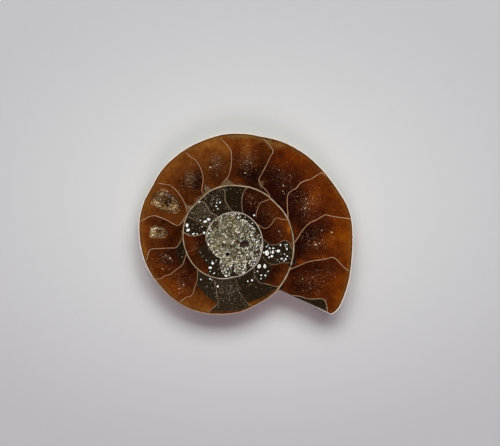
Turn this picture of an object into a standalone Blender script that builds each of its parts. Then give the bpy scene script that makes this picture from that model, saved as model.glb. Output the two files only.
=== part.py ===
"""Half of an ammonite fossil, sawn along its flat plane and polished.

The sawn face is level and looks up (+Z). The domed flank of the shell looks down, and the part of it that
bulges most is ground level, so that the half lies steadily on the plane z = 0. The shell is one coil: every
section of it is the same profile, placed by its growth angle. That angle is 0 degrees where the shell breaks
off and falls by 360 for each turn inwards. Two hollows in the sawn face each hold a crust of crystals.

Everything is built about the coil's axis, and then moved so that the shell's box stands centred on the origin.
"""

import math
import random

import bmesh
import bpy
from mathutils import Matrix, Vector

MM = 0.001

# The coil, seen from above. Its outer edge is a logarithmic spiral.
COIL_RADIUS = 27.0 * MM  # of the even spiral at growth angle 0
GROWTH_RATE = 0.1035  # per radian, so each turn is 1.92 times as wide as the one inside it
BROKEN_END_HEADING = -44.7  # degrees anticlockwise from +X, at growth angle 0
TURNS = 3  # turns that show in the navel of the domed side

# Where the shell grew fuller (+) or flatter (-) than the even spiral: growth angle, half width, share of radius.
UNEVEN_GROWTH = (
    (-6, 4, -0.045),
    (-12, 14, -0.013),
    (-34, 12, -0.014),
    (-58, 10, 0.019),
    (-94, 14, 0.004),
    (-117, 6, -0.008),
    (-138, 7, 0.006),
    (-190, 7, -0.013),
    (-212, 12, 0.009),
    (-237, 16, 0.007),
    (-260, 6, -0.006),
    (-310, 14, -0.017),
    (-337, 14, -0.026),
    (-361, 3, 0.045),
)

# The cross-section of a whorl, from the seam on the turn inside it to its outer edge.
HALF_BREADTH = 6.5 * MM  # at growth angle 0, before grinding
BREADTH_POWER = 0.6  # younger whorls are stouter for their size than older ones
NAVEL_SHARE = 0.30  # seam radius over outer radius
SHOULDER_SHARE = 0.16  # how far across the flank the steep navel wall ends
FLANK_POWER = 2.5  # over 2 gives a flatter flank and a rounder outer edge
SEAM_SHARE = NAVEL_SHARE * (math.exp(2 * math.pi * GROWTH_RATE) - 1) / (1 - NAVEL_SHARE)
HEIGHT = 5.4 * MM  # from the ground flank to the sawn face
EDGE_BREAK = 0.2 * MM  # the polished rounding where the sawn face meets the shell
RIBS_PER_TURN = 24
RIB_RELIEF = 0.12 * MM
RIB_SWEEP = 22.0  # degrees that a rib leans forward between mid-flank and the outer edge

# The shell breaks off along a straight line, from the notch at its inner end to the tip on the outer edge.
TIP_LAG = 8.2  # degrees by which the tip lies behind the notch
LAG_LENGTH = 45.0  # degrees of growth over which the sections turn to follow the break

# Mesh steps
STEPS_PER_TURN = 96
NAVEL_ROWS = 3
HIDDEN_ROWS = 2  # rows between the navel wall and the line where the next turn covers the flank
OUTER_ROWS = 7

# Hollows in the sawn face: centre from the coil's axis, half length by half width by depth, and heading of
# the length in degrees anticlockwise from +X.
POCKETS = {
    "upper_pocket": ((-12.7 * MM, 7.4 * MM), (2.85 * MM, 1.95 * MM, 1.4 * MM), -29.0),
    "lower_pocket": ((-14.3 * MM, 1.4 * MM), (1.75 * MM, 1.2 * MM, 1.0 * MM), -8.0),
}
PITS = {
    "brown_pit": ((2.98 * MM, -1.00 * MM), (0.92 * MM, 0.68 * MM, 0.65 * MM), 12.0),
    "red_pit": ((1.55 * MM, -0.60 * MM), (0.38 * MM, 0.28 * MM, 0.25 * MM), -50.0),
    "black_pit": ((-0.36 * MM, -3.02 * MM), (0.42 * MM, 0.38 * MM, 0.40 * MM), 0.0),
    "wall_pit": ((12.88 * MM, -4.42 * MM), (0.46 * MM, 0.26 * MM, 0.40 * MM), 75.0),
    "notch_pit": ((10.50 * MM, -9.66 * MM), (0.38 * MM, 0.30 * MM, 0.40 * MM), 35.0),
}
HOLLOW_SIDES = 24
HOLLOW_RINGS = 10
HOLLOW_UNEVEN = 0.10  # share by which a hollow's outline wanders

# The crust in a pocket
CRUST_GAP = 0.08 * MM  # clear all round between crust and stone
CRUST_WALL = 0.45 * MM
CRYSTAL_WIDTH = 0.62 * MM
CRYSTAL_SPACING = 0.50 * MM
SAWN_GAP = 0.05 * MM  # how far the crust's sawn crystals stay below the sawn face

STONE_COLOUR = (0.22, 0.075, 0.018, 1.0)
CRYSTAL_COLOUR = (0.62, 0.45, 0.22, 1.0)


def clear_scene():
    for found in list(bpy.data.objects):
        bpy.data.objects.remove(found)


def smooth_step(value):
    held = min(1.0, max(0.0, value))
    return held * held * (3 - 2 * held)


def even_radius(growth):
    return COIL_RADIUS * math.exp(GROWTH_RATE * math.radians(growth))


def unevenness(growth):
    return sum(share * math.exp(-(((growth - at) / width) ** 2)) for at, width, share in UNEVEN_GROWTH)


def radius_at(growth, across):
    """Distance from the coil's axis of a point on the flank: across is 0 at the seam and 1 at the outer edge."""
    along_flank = NAVEL_SHARE + across * (1 - NAVEL_SHARE)
    outer_weight = smooth_step((across - SEAM_SHARE) / (1 - SEAM_SHARE))
    return even_radius(growth) * along_flank * (1 + unevenness(growth) * outer_weight)


def flank_shape(across):
    """Share of the half breadth on the open flank, from 1 at the shoulder to 0 at the outer edge."""
    beyond = max(0.0, (across - SHOULDER_SHARE) / (1 - SHOULDER_SHARE))
    return math.sqrt(max(0.0, 1 - beyond**FLANK_POWER))


def section_shape(across):
    """As flank_shape, with the navel wall, which starts as low as the turn that it stands on."""
    seam = math.exp(-2 * math.pi * GROWTH_RATE * BREADTH_POWER) * flank_shape(SEAM_SHARE)
    if across >= SHOULDER_SHARE:
        return flank_shape(across)
    return seam + (1 - seam) * math.sin(math.pi / 2 * across / SHOULDER_SHARE) ** 0.8


def rib_height(growth, across):
    """Low ribs that lean forward and are strongest at three quarters of the way across the flank."""
    window = smooth_step((across - 0.40) / 0.25) * smooth_step((0.985 - across) / 0.12)
    lean = RIB_SWEEP * max(0.0, across - 0.40) ** 2
    return RIB_RELIEF * window * math.cos(math.radians((growth - lean) * RIBS_PER_TURN))


def flank_point(growth, across):
    """A point on the domed side, about the coil's axis."""
    breadth = HALF_BREADTH * (even_radius(growth) / COIL_RADIUS) ** BREADTH_POWER
    depth = breadth * section_shape(across) + rib_height(growth, across)
    heading = math.radians(BROKEN_END_HEADING - growth)
    radius = radius_at(growth, across)
    height = HEIGHT - min(depth, HEIGHT)
    return Vector((radius * math.cos(heading), radius * math.sin(heading), height))


def polar(radius, heading):
    return Vector((radius * math.cos(math.radians(heading)), radius * math.sin(math.radians(heading)), 0.0))


def break_lag(radius):
    """How many degrees the line of the break lies behind the notch, at a distance from the coil's axis."""
    notch = polar(radius_at(-360.0, 1.0), BROKEN_END_HEADING)
    if radius <= notch.length:
        return 0.0
    along = polar(radius_at(-TIP_LAG, 1.0), BROKEN_END_HEADING + TIP_LAG) - notch
    half = notch.dot(along)
    share = (math.sqrt(half**2 + along.length_squared * (radius**2 - notch.length_squared)) - half) / (
        along.length_squared
    )
    at = notch + along * share
    return math.degrees(math.atan2(at.y, at.x)) - BROKEN_END_HEADING


def lagged(growth, across):
    """The growth angle of a point on a section that turns to follow the break."""
    near_end = smooth_step((growth + LAG_LENGTH) / LAG_LENGTH)
    lag = 0.0
    for _ in range(4):
        lag = near_end * break_lag(radius_at(growth - lag, across))
    return growth - lag


def section_rows():
    """The shares across the flank at which a section has points, closer together where it turns sharply."""
    navel = [SHOULDER_SHARE * row / NAVEL_ROWS for row in range(NAVEL_ROWS)]
    hidden = [
        SHOULDER_SHARE + (SEAM_SHARE - SHOULDER_SHARE) * row / HIDDEN_ROWS for row in range(HIDDEN_ROWS)
    ]
    outer = [
        SEAM_SHARE + (1 - SEAM_SHARE) * math.sin(math.pi / 2 * row / OUTER_ROWS) for row in range(OUTER_ROWS)
    ]
    return navel + hidden + outer + [1.0]


def rim_points(growth):
    """The last two points of a section: the outer edge at full radius, and the sawn face's own edge."""
    at = lagged(growth, 1.0)
    heading = math.radians(BROKEN_END_HEADING - at)
    outward = Vector((math.cos(heading), math.sin(heading), 0.0))
    edge = outward * radius_at(at, 1.0)
    return edge + Vector((0, 0, HEIGHT - EDGE_BREAK)), edge - outward * EDGE_BREAK + Vector((0, 0, HEIGHT))


class Shell:
    """The coiled strip of the domed side. Turn 0 is the outermost, and turns share the points along their seams."""

    def __init__(self, mesh):
        self.mesh = mesh
        self.rows = section_rows()
        self.seam_row = NAVEL_ROWS + HIDDEN_ROWS
        self.points = {}

    def last_row(self, turn):
        return len(self.rows) if turn == 0 else self.seam_row

    def point(self, turn, step, row):
        if row == 0 and turn < TURNS - 1:
            return self.point(turn + 1, step, self.seam_row)
        if step == STEPS_PER_TURN and turn > 0:
            return self.point(turn - 1, 0, row)
        key = (turn, step, row)
        if key not in self.points:
            growth = 360.0 * (step / STEPS_PER_TURN - 1 - turn)
            if row >= len(self.rows) - 1:
                place = rim_points(growth)[row - len(self.rows) + 1]
            else:
                across = self.rows[row]
                place = flank_point(lagged(growth, across) if turn == 0 else growth, across)
            self.points[key] = self.mesh.verts.new(place)
        return self.points[key]

    def add_face(self, corners):
        kept = [corner for index, corner in enumerate(corners) if corner != corners[index - 1]]
        self.mesh.faces.new(kept)

    def build_flank(self):
        for turn in range(TURNS):
            for step in range(STEPS_PER_TURN):
                for row in range(self.last_row(turn)):
                    self.add_face(
                        [
                            self.point(turn, step, row),
                            self.point(turn, step + 1, row),
                            self.point(turn, step + 1, row + 1),
                            self.point(turn, step, row + 1),
                        ]
                    )

    def build_navel_floor(self):
        """A fan that closes the innermost turn. Its middle faces the step where that turn begins."""
        inner = TURNS - 1
        loop = [self.point(inner, step, 0) for step in range(STEPS_PER_TURN)]
        loop += [self.point(inner, 0, row) for row in range(self.seam_row, 0, -1)]
        place = polar(loop[0].co.xy.length / 2, BROKEN_END_HEADING + 90)
        place.z = sum(corner.co.z for corner in loop) / len(loop)
        middle = self.mesh.verts.new(place)
        for index, corner in enumerate(loop):
            self.mesh.faces.new([middle, loop[index - 1], corner])

    def build_broken_end(self):
        """The face where the shell breaks off: one part faces along the coil, the other follows the break."""
        outer = [self.point(0, STEPS_PER_TURN, row) for row in range(len(self.rows) + 1)]
        inner = [self.point(0, 0, row) for row in range(self.seam_row + 1, len(self.rows) + 1)]
        self.mesh.faces.new(outer[: self.seam_row + 1] + inner[::-1])
        self.mesh.faces.new(outer[self.seam_row :] + inner[-1:])

    def build_sawn_face(self):
        rim = len(self.rows)
        self.mesh.faces.new([self.point(0, step, rim) for step in range(STEPS_PER_TURN + 1)])


def material(name, colour, roughness):
    made = bpy.data.materials.new(name)
    made.use_nodes = True
    shader = made.node_tree.nodes["Principled BSDF"]
    shader.inputs["Base Color"].default_value = colour
    shader.inputs["Roughness"].default_value = roughness
    return made


def add_object(name, mesh, finish=None):
    """Makes an object of a bmesh, its faces turned outwards."""
    bmesh.ops.recalc_face_normals(mesh, faces=mesh.faces)
    data = bpy.data.meshes.new(name)
    mesh.to_mesh(data)
    mesh.free()
    if finish:
        data.materials.append(finish)
    made = bpy.data.objects.new(name, data)
    bpy.context.scene.collection.objects.link(made)
    return made


def as_cutter(made):
    made.hide_render = True
    made.display_type = "WIRE"
    return made


def cut(target, cutter, name):
    modifier = target.modifiers.new(name, "BOOLEAN")
    modifier.operation = "DIFFERENCE"
    modifier.solver = "EXACT"
    modifier.use_self = True
    modifier.object = cutter


def plan_middle(shell):
    """The middle of the shell's box, seen from above."""
    across = [vertex.co.x for vertex in shell.verts]
    along = [vertex.co.y for vertex in shell.verts]
    return Vector(((min(across) + max(across)) / 2, (min(along) + max(along)) / 2, 0.0))


def placed(centre, heading, middle):
    """Moves a hollow from its own axes to its place in the sawn face."""
    at = Vector((centre[0], centre[1], HEIGHT)) - middle
    return Matrix.Translation(at) @ Matrix.Rotation(math.radians(heading), 4, "Z")


def hollow_mesh(half_length, half_width, depth):
    """A closed, slightly uneven ellipsoid that stands as far above the sawn face as below it."""
    mesh = bmesh.new()
    bmesh.ops.create_uvsphere(mesh, u_segments=HOLLOW_SIDES, v_segments=HOLLOW_RINGS, radius=1.0)
    for vertex in mesh.verts:
        around = math.atan2(vertex.co.y, vertex.co.x)
        uneven = 1 + HOLLOW_UNEVEN * (math.sin(2 * around + 0.6) + math.sin(3 * around + 2.0)) / 2
        vertex.co = (
            vertex.co.x * uneven * half_length,
            vertex.co.y * uneven * half_width,
            vertex.co.z * depth,
        )
    return mesh


def crust_block(size):
    """The lower half of a hollow's shape, closed by a flat lid just under the sawn face."""
    mesh = hollow_mesh(*size)
    everything = mesh.verts[:] + mesh.edges[:] + mesh.faces[:]
    lid = bmesh.ops.bisect_plane(
        mesh, geom=everything, plane_co=(0, 0, -SAWN_GAP), plane_no=(0, 0, 1), clear_outer=True
    )
    rim = [item for item in lid["geom_cut"] if isinstance(item, bmesh.types.BMEdge)]
    bmesh.ops.holes_fill(mesh, edges=rim)
    return mesh


def crystal_places(size, draw):
    """Points spread over a hollow's wall by the golden angle, each with the way that it faces."""
    count = int(1.5 * math.pi * size[0] * size[1] / CRYSTAL_SPACING**2)
    for index in range(count):
        share = (index + 0.5) / count
        turn = index * math.pi * (3 - math.sqrt(5)) + draw.uniform(-0.2, 0.2)
        tilt = math.acos(math.sqrt(share))
        at = Vector((math.cos(tilt) * math.cos(turn), math.cos(tilt) * math.sin(turn), -math.sin(tilt)))
        inwards = -Vector((at.x / size[0], at.y / size[1], at.z / size[2])).normalized()
        yield Vector((at.x * size[0], at.y * size[1], at.z * size[2])), inwards


def add_crystal(mesh, at, facing, width, draw):
    """A blunt six-sided point with flat faces, sunk to half its height."""
    made = bmesh.ops.create_cone(
        mesh, cap_ends=True, segments=6, radius1=width / 2, radius2=width * 0.10, depth=width * 0.95
    )["verts"]
    lean = Vector((draw.uniform(-0.35, 0.35), draw.uniform(-0.35, 0.35), 0.0))
    turn = (facing + lean).to_track_quat("Z", "Y").to_matrix().to_4x4()
    spin = Matrix.Rotation(draw.uniform(0, math.pi / 3), 4, "Z")
    bmesh.ops.transform(mesh, matrix=Matrix.Translation(at) @ turn @ spin, verts=made)


def crust(name, size, where, finish):
    """The crystals of one pocket. The open space between them is cut out of a block that fills the pocket."""
    draw = random.Random(name)
    outer = [length - CRUST_GAP for length in size]
    inner = [length - CRUST_WALL for length in outer]
    points = bmesh.new()
    for at, facing in crystal_places(inner, draw):
        add_crystal(points, at, facing, CRYSTAL_WIDTH * draw.uniform(0.7, 1.15), draw)
    grown = as_cutter(add_object(name + "_points", points))
    space = as_cutter(add_object(name + "_space", hollow_mesh(*inner)))
    cut(space, grown, "leave crystals standing")
    made = add_object(name, crust_block(outer), finish)
    cut(made, space, "open space")
    for piece in (made, grown, space):
        piece.matrix_world = where


def bowl(stone, name, size, where):
    made = as_cutter(add_object(name, hollow_mesh(*size)))
    made.matrix_world = where
    cut(stone, made, name)


def build_stone(finish):
    """The fossil itself, and the middle of its box, to which everything is moved."""
    mesh = bmesh.new()
    shell = Shell(mesh)
    shell.build_flank()
    shell.build_navel_floor()
    shell.build_broken_end()
    shell.build_sawn_face()
    middle = plan_middle(mesh)
    bmesh.ops.translate(mesh, vec=-middle, verts=mesh.verts)
    stone = add_object("ammonite", mesh, finish)
    return stone, middle


def main():
    clear_scene()
    stone, middle = build_stone(material("polished_fossil", STONE_COLOUR, 0.25))
    crystals = material("pocket_crystals", CRYSTAL_COLOUR, 0.35)
    for name, (centre, size, heading) in POCKETS.items():
        where = placed(centre, heading, middle)
        bowl(stone, name, size, where)
        crust(name + "_crystals", size, where, crystals)
    for name, (centre, size, heading) in PITS.items():
        bowl(stone, name, size, placed(centre, heading, middle))
    stone.data.shade_smooth()
    stone.data.set_sharp_from_angle(angle=math.radians(35))


main()
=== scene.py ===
"""The looks of a sawn and polished ammonite half: its sawn face, domed shell and pocket crystals.

The shell is one coil. A place on it has a growth angle (degrees, 0 at the broken end, falling by 360 for
each turn inwards) and a share across its whorl (0 at the inner wall, 1 at the outer wall). Places on the
sawn face that were found in the 500 x 446 view are written as x, y in that view, y downwards, and
from_view() turns them into millimetres about the coil's axis. Lengths are in millimetres, unless a comment
says metres, until TO_FRAME places a mesh.
"""

import math
import random

import bmesh
import bpy
import numpy as np
from mathutils import Matrix, Vector, noise
from mathutils.geometry import delaunay_2d_cdt


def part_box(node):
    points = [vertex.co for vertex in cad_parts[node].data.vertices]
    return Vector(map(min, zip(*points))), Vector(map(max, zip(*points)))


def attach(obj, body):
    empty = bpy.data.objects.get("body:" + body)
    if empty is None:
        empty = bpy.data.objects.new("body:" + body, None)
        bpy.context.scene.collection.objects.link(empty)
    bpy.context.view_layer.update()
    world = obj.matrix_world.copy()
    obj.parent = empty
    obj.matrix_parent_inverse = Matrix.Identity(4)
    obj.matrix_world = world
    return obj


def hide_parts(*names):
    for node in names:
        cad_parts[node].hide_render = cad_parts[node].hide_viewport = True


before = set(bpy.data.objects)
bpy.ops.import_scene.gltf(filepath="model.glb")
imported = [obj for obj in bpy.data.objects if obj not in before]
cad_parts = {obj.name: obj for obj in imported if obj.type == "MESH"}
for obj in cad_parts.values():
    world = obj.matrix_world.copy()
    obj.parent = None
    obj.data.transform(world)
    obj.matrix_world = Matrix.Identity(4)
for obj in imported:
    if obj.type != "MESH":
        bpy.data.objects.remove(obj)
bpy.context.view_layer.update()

MM = 0.001
VIEW_SIZE = (500, 446)
PIXEL = 0.2  # real size of one picture element on the sawn face
AXIS_IN_VIEW = np.array((229.3, 238.9))
FAR = 9.0  # further than any distance that the paint looks at

# ---- the coil
COIL_RADIUS = 27.0
GROWTH_RATE = 0.1035
BROKEN_END_HEADING = -44.7
TURNS = 3
ACROSS_COIL = math.cos(math.atan(GROWTH_RATE))  # gap square to a wall, as a share of that along the radius
# Where it is fuller (+) or flatter (-) than an even spiral: growth angle, half width and share of radius.
OUTLINE_SWELLINGS = (
    (-6, 4, -0.045), (-12, 14, -0.013), (-34, 12, -0.014), (-58, 10, 0.019), (-94, 14, 0.004),
    (-117, 6, -0.008), (-138, 7, 0.006), (-190, 7, -0.013), (-212, 12, 0.009), (-237, 16, 0.007),
    (-260, 6, -0.006), (-310, 14, -0.017), (-337, 14, -0.026), (-361, 3, 0.045),
)
# The same for the walls between the turns, as they show on the sawn face, from WALL_START inwards.
WALL_SHARE = 0.984  # of the outline's even radius
WALL_START = -338.0
WALL_SWELLINGS = (
    (-444, 9, -0.017), (-475, 30, -0.0135), (-484, 6, -0.01), (-533, 12, -0.031), (-632, 24, 0.02),
    (-680, 8, -0.02), (-724, 10, 0.016), (-805, 45, -0.025), (-890, 48, -0.09),
)
WALL_THICKNESS = ((-960, -700, -520, -420, -345), (0.48, 0.52, 0.76, 0.78, 0.95))  # by growth angle, relative
INNERMOST_WALL = (-960, -930)  # growth angles over which the wall fades in from the dissolved first turns

HALF_BREADTH = 6.5
BREADTH_POWER = 0.6
NAVEL_SHARE = 0.30
SHOULDER_SHARE = 0.16
FLANK_POWER = 2.5
TURN_GROWTH = math.exp(2 * math.pi * GROWTH_RATE)
SEAM_SHARE = NAVEL_SHARE * (TURN_GROWTH - 1) / (1 - NAVEL_SHARE)
HEIGHT = 5.4
EDGE_BREAK = 0.07  # sharper than in the CAD, as the cut edge of the shell is flat and shows as a pale line
RIBS_PER_TURN = 24
RIB_RELIEF = 0.12
RIB_SWEEP = 22.0
RIB_START = 0.40  # share across the flank where the ribs begin
TIP_LAG = 8.2
LAG_LENGTH = 45.0

# ---- mesh density
STEPS_PER_TURN = 480
NAVEL_ROWS = 7
HIDDEN_ROWS = 4
OUTER_ROWS = 22
BEVEL_ROWS = 3
FACE_SPACING = 0.155
HOLLOW_SPACING = 0.09
EDGE_SPACING = 0.16
FINE_REACH = 1.2  # times a hollow's size, within which the sawn face's mesh is fine
LIP_RINGS = (1.0, 0.97)  # where rings of points follow a hollow's lip, in shares of its size
LIP_BAND = (0.985, 0.045)  # middle and half width of the band that only those rings use

# ---- hollows in the sawn face, as in the CAD: centre, half length by half width by depth, and heading
POCKETS = {
    "upper_pocket": ((-12.7, 7.4), (2.85, 1.95, 1.4), -29.0),
    "lower_pocket": ((-14.3, 1.4), (1.75, 1.2, 1.0), -8.0),
}
PITS = {
    "brown_pit": ((2.98, -1.00), (0.92, 0.68, 0.65), 12.0),
    "red_pit": ((1.55, -0.60), (0.38, 0.28, 0.25), -50.0),
    "black_pit": ((-0.36, -3.02), (0.42, 0.38, 0.40), 0.0),
    "wall_pit": ((12.88, -4.42), (0.46, 0.26, 0.40), 75.0),
    "notch_pit": ((10.50, -9.66), (0.38, 0.30, 0.40), 35.0),
}
PIT_TONES = (0.55, 1.0, 0.0, 0.1, 0.1)  # each pit's place on the ramp PIT_TINTS
HOLLOWS = (*POCKETS.values(), *PITS.values())
HOLLOW_UNEVEN = 0.10

# ---- marks on the sawn face, placed in the view
# The chamber walls (septa), from the broken end inwards: how plainly each shows, and its points from the
# inner wall to the outer one.
SEPTA = (
    (0.9, ((292, 295), (300, 296), (308, 298.5), (316, 298.5), (322, 298.5), (325, 301), (327, 307),
        (327, 311))),
    (1, ((290, 269), (296, 266.5), (303, 263.5), (310, 261), (320, 259.5), (328, 258), (332, 257),
        (336, 259), (340, 263), (345, 268), (349, 270.5))),
    (0.95, ((294, 243), (298, 237), (301, 232), (305, 227), (310, 222.5), (318, 218.5), (324, 215),
        (326, 214.5), (335, 216.5), (350, 218.5))),
    (0.95, ((288, 219), (287.5, 210), (287, 200), (288, 194), (292, 190), (296, 188), (300, 183),
        (305, 180.5), (311, 178.5), (320, 173), (323, 173), (325, 175))),
    (0.8, ((270, 196), (266, 190), (262, 186), (259.5, 182.5), (259, 178.5), (262, 173), (266, 165),
        (270, 157), (273, 151), (270, 146), (266, 141), (264, 139.5))),
    (0.85, ((223, 182), (227, 178), (229.5, 172), (231, 165), (231.5, 156), (230, 148.5), (226, 143.5),
        (222, 139.5))),
    (0.85, ((203, 193), (201.5, 190), (202, 187), (203, 180), (202, 172), (199, 165), (195, 159.5),
        (190, 156.5), (187, 153.5))),
    (0.9, ((187, 212), (185, 204), (184, 202), (181, 196.5), (176, 190), (170, 185), (165, 184),
        (159, 183))),
    (1, ((184, 218), (182, 221.5), (179, 224.5), (176, 225), (172, 223), (167, 220), (160, 217),
        (155, 215.5), (150, 216), (144, 219), (140.5, 221))),
    (0.8, ((182.5, 233), (182, 236), (180.5, 241), (178, 245), (175, 247.5), (168, 247.8), (158, 248.3),
        (151, 249), (149, 251), (148, 254), (146.5, 259.5))),
    (0.7, ((186, 254), (184.5, 258.5), (183, 263), (180, 266.5), (175, 270), (170, 274), (165, 275.5),
        (160, 278.5), (155, 278.5))),
    (0.65, ((197.5, 270), (197.5, 272), (197, 280), (195, 285), (193.5, 291), (191, 295.5), (187, 296.5),
        (184, 298.5), (180, 301.5))),
    (0.62, ((214, 280), (215, 283), (216, 288), (217, 295), (218, 302), (215, 306), (211, 309),
        (208, 313))),
    (0.28, ((236, 279), (237, 283), (238, 289), (241, 295), (245, 300), (249, 305))),
    (0.45, ((254, 268), (254.5, 275), (257, 279), (260, 282.5), (265, 283.5), (270, 284.5), (274, 286),
        (279, 286))),
    (0.45, ((263, 257), (266, 261), (270, 263.5), (276, 264), (282, 262.5), (289, 262.5))),
    (0.42, ((263.5, 239), (267, 242), (271, 244.5), (277, 244), (281, 241.5), (284, 239.8), (288, 241.5),
        (291.5, 248))),
    (0.6, ((257, 224), (260.5, 226), (264, 228), (268, 227), (272, 223), (275, 218.5), (278, 217.8),
        (282, 219), (287.5, 219.5))),
    (0.55, ((256, 216), (256, 213), (258, 207), (260, 203), (265, 200.5), (270, 199))),
    (0.6, ((242.5, 212), (242, 207), (241.5, 201), (242.5, 195), (244.5, 190), (247, 187.5))),
    (0.75, ((232, 211), (230, 208), (227, 204), (225, 200), (225, 195), (224, 189.5), (222.5, 189))),
    (0.7, ((218, 216.5), (215, 214.5), (212, 213), (209, 210), (207, 206), (204, 202), (201, 201.5),
        (198, 204))),
    (0.45, ((208, 228), (203, 224), (200, 222.5), (196, 220.5), (191, 218), (187, 216))),
    (0.8, ((207, 236), (204, 233), (200, 234.5), (195, 235.5), (190, 235.5), (187, 234), (183, 231.5))),
    (0.15, ((197, 247), (192, 250), (190, 251), (186, 252))),
    (0, ((215, 261), (211, 267), (207, 272))),
)
SEPTUM_REACH = 1.6  # how far from a septum its distance is worked out
EXTRA_SUTURES = 12  # drawn on the shell beyond the innermost septum
INNERMOST_FRONT = -720.0  # growth angle where the last chamber ends
FOOT_RADIUS = 0.55  # rounding where a septum meets a wall

# What fills each chamber, from beyond the first septum inwards. glow runs from near black (0) to gold (1),
# at the chamber's inner front, inner back, outer front and outer back corners, front being nearer the broken
# end. Mud fills from one share across the whorl to another, which may differ between front and back, and
# starts at 2 where there is none. pale is how pale it is, sparkle how many bright grains show, and ruddy how
# red instead of brown the calcite is.
# Columns: glow (4), mud from, mud to at the front, mud to at the back, pale, sparkle, ruddy
CHAMBERS = (
    (0.4, 0.4, 0.4, 0.4, 0.13, 2, 2, 0.1, 0, 0.3),
    (0.34, 0.16, 0.5, 0.52, 2, 0, 0, 0, 0.5, 0.9),
    (0.3, 0.1, 0.64, 0.68, 2, 0, 0, 0, 0.5, 1),
    (0.24, 0.1, 0.58, 0.56, 2, 0, 0, 0, 0.6, 1),
    (0.1, 0.08, 0.54, 0.46, 2, 0, 0, 0, 0.5, 1),
    (0.1, 0.34, 0.42, 0.62, 2, 0, 0, 0, 0.5, 0.5),
    (0.42, 0.46, 0.68, 0.69, 2, 0, 0, 0, 0.5, 0),
    (0.34, 0.44, 0.63, 0.65, 2, 0, 0, 0, 0.5, 0.1),
    (0.44, 0.56, 0.56, 0.58, 2, 0, 0, 0, 0.2, 0),
    (0.27, 0.29, 0.56, 0.59, 2, 0, 0, 0, 0.2, 0.3),
    (0.24, 0.24, 0.44, 0.5, -1, 0.2, 0.25, 0, 0.5, 0.8),
    (0.27, 0.27, 0.58, 0.57, 2, 0, 0, 0, 0.5, 0.6),
    (0.34, 0.36, 0.61, 0.66, -1, 0.32, 0.7, 0.2, 0.3, 0.1),
    (0.36, 0.36, 0.42, 0.46, -1, 0.9, 0.95, 0.3, 0.6, 0),
    (0.36, 0.36, 0.52, 0.46, -1, 0.8, 0.97, 0.1, 0.4, 0),
    (0.18, 0.18, 0.38, 0.32, -1, 0.6, 0.4, 0.1, 0.3, 0.3),
    (0.2, 0.2, 0.3, 0.3, -1, 2, 0.93, 0.1, 0.2, 0.2),
    (0.14, 0.16, 0.46, 0.4, 2, 0, 0, 0, 0.4, 0.6),
    (0.16, 0.18, 0.44, 0.38, 2, 0, 0, 0, 0.4, 0.5),
    (0.12, 0.12, 0.3, 0.18, 2, 0, 0, 0, 0.5, 0.4),
    (0.2, 0.2, 0.2, 0.2, -1, 2, 2, 0, 0, 0.5),
    (0.2, 0.2, 0.2, 0.2, -1, 2, 2, 0.15, 0.6, 0.5),
    (0.2, 0.2, 0.3, 0.3, -1, 2, 2, 0.6, 0.9, 0.5),
    (0.2, 0.2, 0.2, 0.2, -1, 2, 2, 0.1, 0.2, 0.5),
    (0.12, 0.22, 0.38, 0.4, 2, 0, 0, 0, 0.3, 0.6),
    (0.24, 0.24, 0.38, 0.38, -1, 0.45, 0.6, 0.1, 0.3, 0.3),
    (0.2, 0.2, 0.2, 0.2, -1, 2, 2, 0.1, 0.6, 0.5),
)
# Soft dabs: x, y, how far each reaches across and down, and how much it adds.
# Brighter and darker calcite:
GLOW_DABS = (
    (341, 292, 7, 16, 0.06), (300, 286, 9, 7, -0.12), (314, 280, 11, 5, 0.08), (321, 266, 13, 6, -0.14),
    (300, 292, 9, 5, -0.06), (338, 296, 6, 12, 0.08), (326, 226, 9, 7, -0.12), (314, 234, 9, 8, -0.1),
    (337, 250, 6, 8, -0.06), (328, 192, 9, 9, -0.06), (247, 152, 5, 9, 0.1), (184, 186, 13, 14, -0.12),
    (216, 174, 10, 10, -0.06), (160, 222, 14, 5, -0.08), (171, 239, 8, 6, -0.06),
    (157, 243, 12, 4, -0.06), (143, 233, 4, 12, 0.08), (192, 262, 5, 9, -0.2), (174, 291, 10, 6, 0.06),
    (283, 271, 4, 6, 0.1), (271, 270, 5, 8, -0.08), (207, 294, 7, 7, 0.06), (300, 250, 6, 9, -0.04),
    (322, 241, 8, 6, 0.1), (314, 245, 5, 4, 0.18), (341, 236, 8, 12, 0.08), (300, 262, 4.5, 3.5, 0.34),
    (320, 257, 9, 3, 0.14), (295, 231, 3, 8, 0.24), (331, 201, 5, 7, -0.06), (344, 204, 3, 10, 0.08),
    (313, 201, 7, 10, 0.24), (284, 206, 4, 6, 0.06), (279, 187, 12, 9, -0.04), (263, 181, 3, 6, 0.26),
    (297, 160, 10, 7, 0.14), (278, 144, 5, 3, 0.24), (262, 152, 4, 9, -0.04), (277, 158, 5, 9, 0.12),
    (247, 140, 8, 9, 0.16), (250, 175, 9, 6, -0.16), (238, 180, 7, 3, 0.22), (210, 186, 9, 3, 0.08),
    (216, 168, 10, 11, -0.1), (208, 136, 9, 5, 0.06), (214, 145, 12, 5, 0.08), (197, 180, 5, 12, -0.22),
    (188, 182, 8, 8, -0.06), (194, 198, 5, 3, 0.14), (174, 163, 7, 6, 0.1), (146, 203, 4, 11, 0.06),
    (143, 250, 3, 7, 0.12), (172, 254, 10, 7, -0.1), (181, 276, 9, 9, -0.03), (150, 268, 4, 7, 0.04),
    (192, 250, 4, 12, 0.1), (289, 228, 2.5, 8, 0.34), (280, 221, 8, 6, 0.12), (279, 280, 4, 5, 0.14),
)
# Milky grey, mostly where a septum's foot stands on the wall:
MILKY_DABS = (
    (261, 184, 2.2, 4, 0.6), (216, 161, 6, 8, 0.32), (190, 177, 5, 8, 0.34), (247, 160, 5, 7, 0.22),
    (292, 244, 1.2, 8, 0.5), (276, 143.5, 4, 2, 0.15), (268, 141, 3, 2, 0.35), (316, 246, 6, 6, 0.08),
    (326, 300, 1.6, 3, 0.3),
)
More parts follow.
